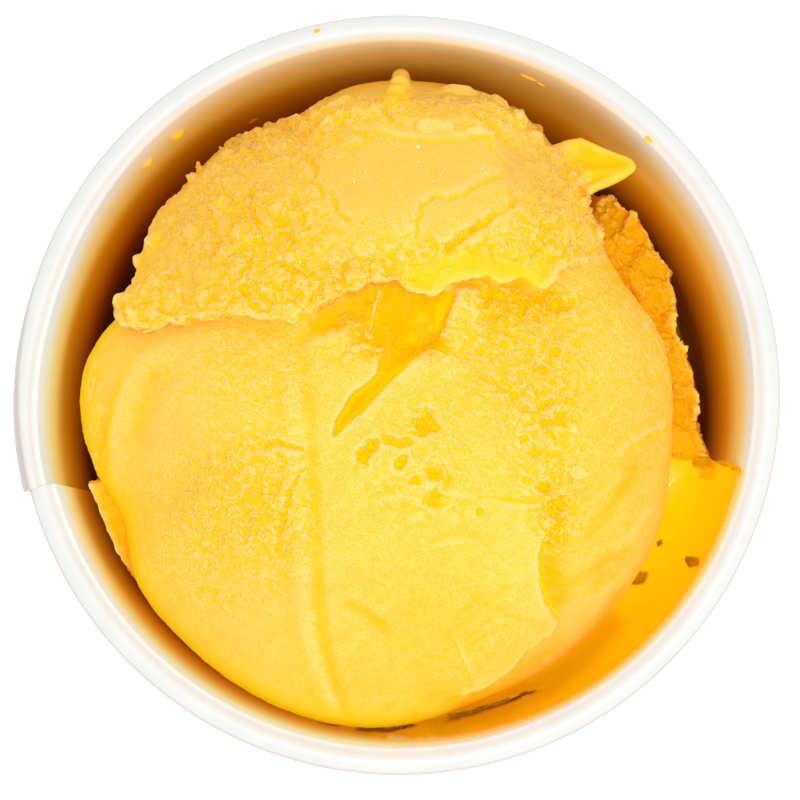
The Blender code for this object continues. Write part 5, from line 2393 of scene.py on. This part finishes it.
@dataclass
class IceSpecksAndGlints:
    """White specks of ice on the scoop, and painted glints: white specks on the flap's lip, on the slit's
    bank and on the wall by the skirt, each a pixel and a radius in millimetres.
    """

    # Specks of ice, and painted glints on the flap's lip and the slit's bank.
    specks_and_glints_px: tuple = (
        (383, 143, 0.10), (392, 144, 0.12), (397, 143, 0.11), (418, 147, 0.19), (419, 162, 0.12),
        (365, 172, 0.11), (354, 182, 0.13), (445, 169, 0.10), (482, 169, 0.12), (470, 150, 0.10),
        (433, 181, 0.08), (330, 262, 0.12), (258, 236, 0.12), (300, 262, 0.11), (214, 458, 0.12),
        (441, 272, 0.08), (445, 270, 0.07), (449, 269, 0.07), (458, 273, 0.07), (500, 272, 0.07),
        (413, 366, 0.07), (417, 364, 0.07), (428, 360, 0.07), (404, 375, 0.07), (423, 368, 0.07),
        (450, 378, 0.07), (453, 380, 0.07), (421, 403, 0.07), (353, 428, 0.07), (370, 404, 0.07),
    )
    # Painted glints along the wet skirt's edge.
    wall_glints_px: tuple = (
        (736, 503, 0.08), (734, 510, 0.07), (732, 521, 0.08), (731, 530, 0.07), (726, 545, 0.08),
        (722, 556, 0.07), (715, 569, 0.07),
    )
    wall_inset: tuple = (0.985, 0.985, 1.0)
    pieces: tuple = ()

    def build(self) -> Piece:
        """Model the specks and the painted glints.

        Returns:
            One object with all of them.
        """
        skins = []
        for piece in self.pieces:
            skins.append(ScoopPiece())
            skins[-1].look_at(piece)
        specks = []
        for x_px, y_px, size in self.specks_and_glints_px:
            places = [skin.spot(x_px, y_px)[0] for skin in skins]
            place = max(places, key=lambda found: found[2])
            specks.append(new_ball("speck", place, np.full(3, size), rings=6))
        for x_px, y_px, size in self.wall_glints_px:
            place = CUP.on_wall(x_px, y_px) * self.wall_inset
            specks.append(new_ball("speck", place, np.full(3, size), rings=6))
        first = specks[0]
        fuse(first, specks[1:])
        first.name = "ice_specks_and_painted_glints"
        # The film's cream white, as painted glints for most of them.
        write_shares(first, film=1.0)
        shade(first, 60.0)
        dress(first, Finish.ICE_CREAM.value.make())
        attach(first, "root")
        return first


# --- Camera, light and floor ---


@dataclass
class Studio:
    """The plain pale floor and the soft light round the cup."""

    key_place: tuple = (0.1, -0.2, 0.73)
    key_size: float = 0.4
    key_power: float = 1.75
    glint_place: tuple = (0.1, -0.05, 0.74)
    glint_size: float = 0.03
    glint_power: float = 0.3
    sky: float = 0.93
    floor_glow: float = 0.35

    def light(self, name: str, place: tuple, size: float, power: float) -> None:
        """Add one square soft light that looks at the cup.

        Args:
            name: Its name.
            place: Where it stands, in metres.
            size: Its side, in metres.
            power: Its power, in watts.
        """
        data = bpy.data.lights.new(name, "AREA")
        data.size = size
        data.energy = power
        lamp = bpy.data.objects.new(name, data)
        lamp.location = place
        away = Vector(place) - Vector((0.0, 0.0, 0.04))
        lamp.rotation_euler = away.to_track_quat("Z", "Y").to_euler()
        bpy.context.scene.collection.objects.link(lamp)

    def build(self) -> None:
        """Put up the floor, the lights and the camera."""
        deselect()
        bpy.ops.mesh.primitive_plane_add(size=3.0, location=(0.0, 0.0, 0.0))
        floor = bpy.context.object
        floor.name = "floor"
        board = Board("pale_floor")
        white = paint(252, 252, 252)
        glow = {"Emission_Color": white, "Emission_Strength": self.floor_glow}
        dress(floor, board.finish(Base_Color=white, Roughness=0.8, **glow))
        world = bpy.data.worlds.new("soft_white")
        world.use_nodes = True
        sky = world.node_tree.nodes["Background"]
        sky.inputs["Color"].default_value = (1.0, 1.0, 1.0, 1.0)
        sky.inputs["Strength"].default_value = self.sky
        scene = bpy.context.scene
        scene.world = world
        scene.view_settings.view_transform = "Standard"
        self.light("key", self.key_place, self.key_size, self.key_power)
        self.light("glint", self.glint_place, self.glint_size, self.glint_power)
        VIEW.make_camera()


def main() -> None:
    """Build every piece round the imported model, in order."""
    logging.basicConfig(level=logging.INFO, format="%(name)s: %(message)s")
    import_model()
    Studio().build()
    pieces = PaperCup().build()
    scoop = (ScoopBody().build(), ScoopFlap().build())
    pieces += [*scoop, LowerMass().build(), WallMarks().build(), IceSpecksAndGlints(pieces=scoop).build()]
    for piece in pieces:
        LOG.info("%s has %d faces", piece.name, len(piece.data.polygons))


if __name__ == "__main__":
    main()
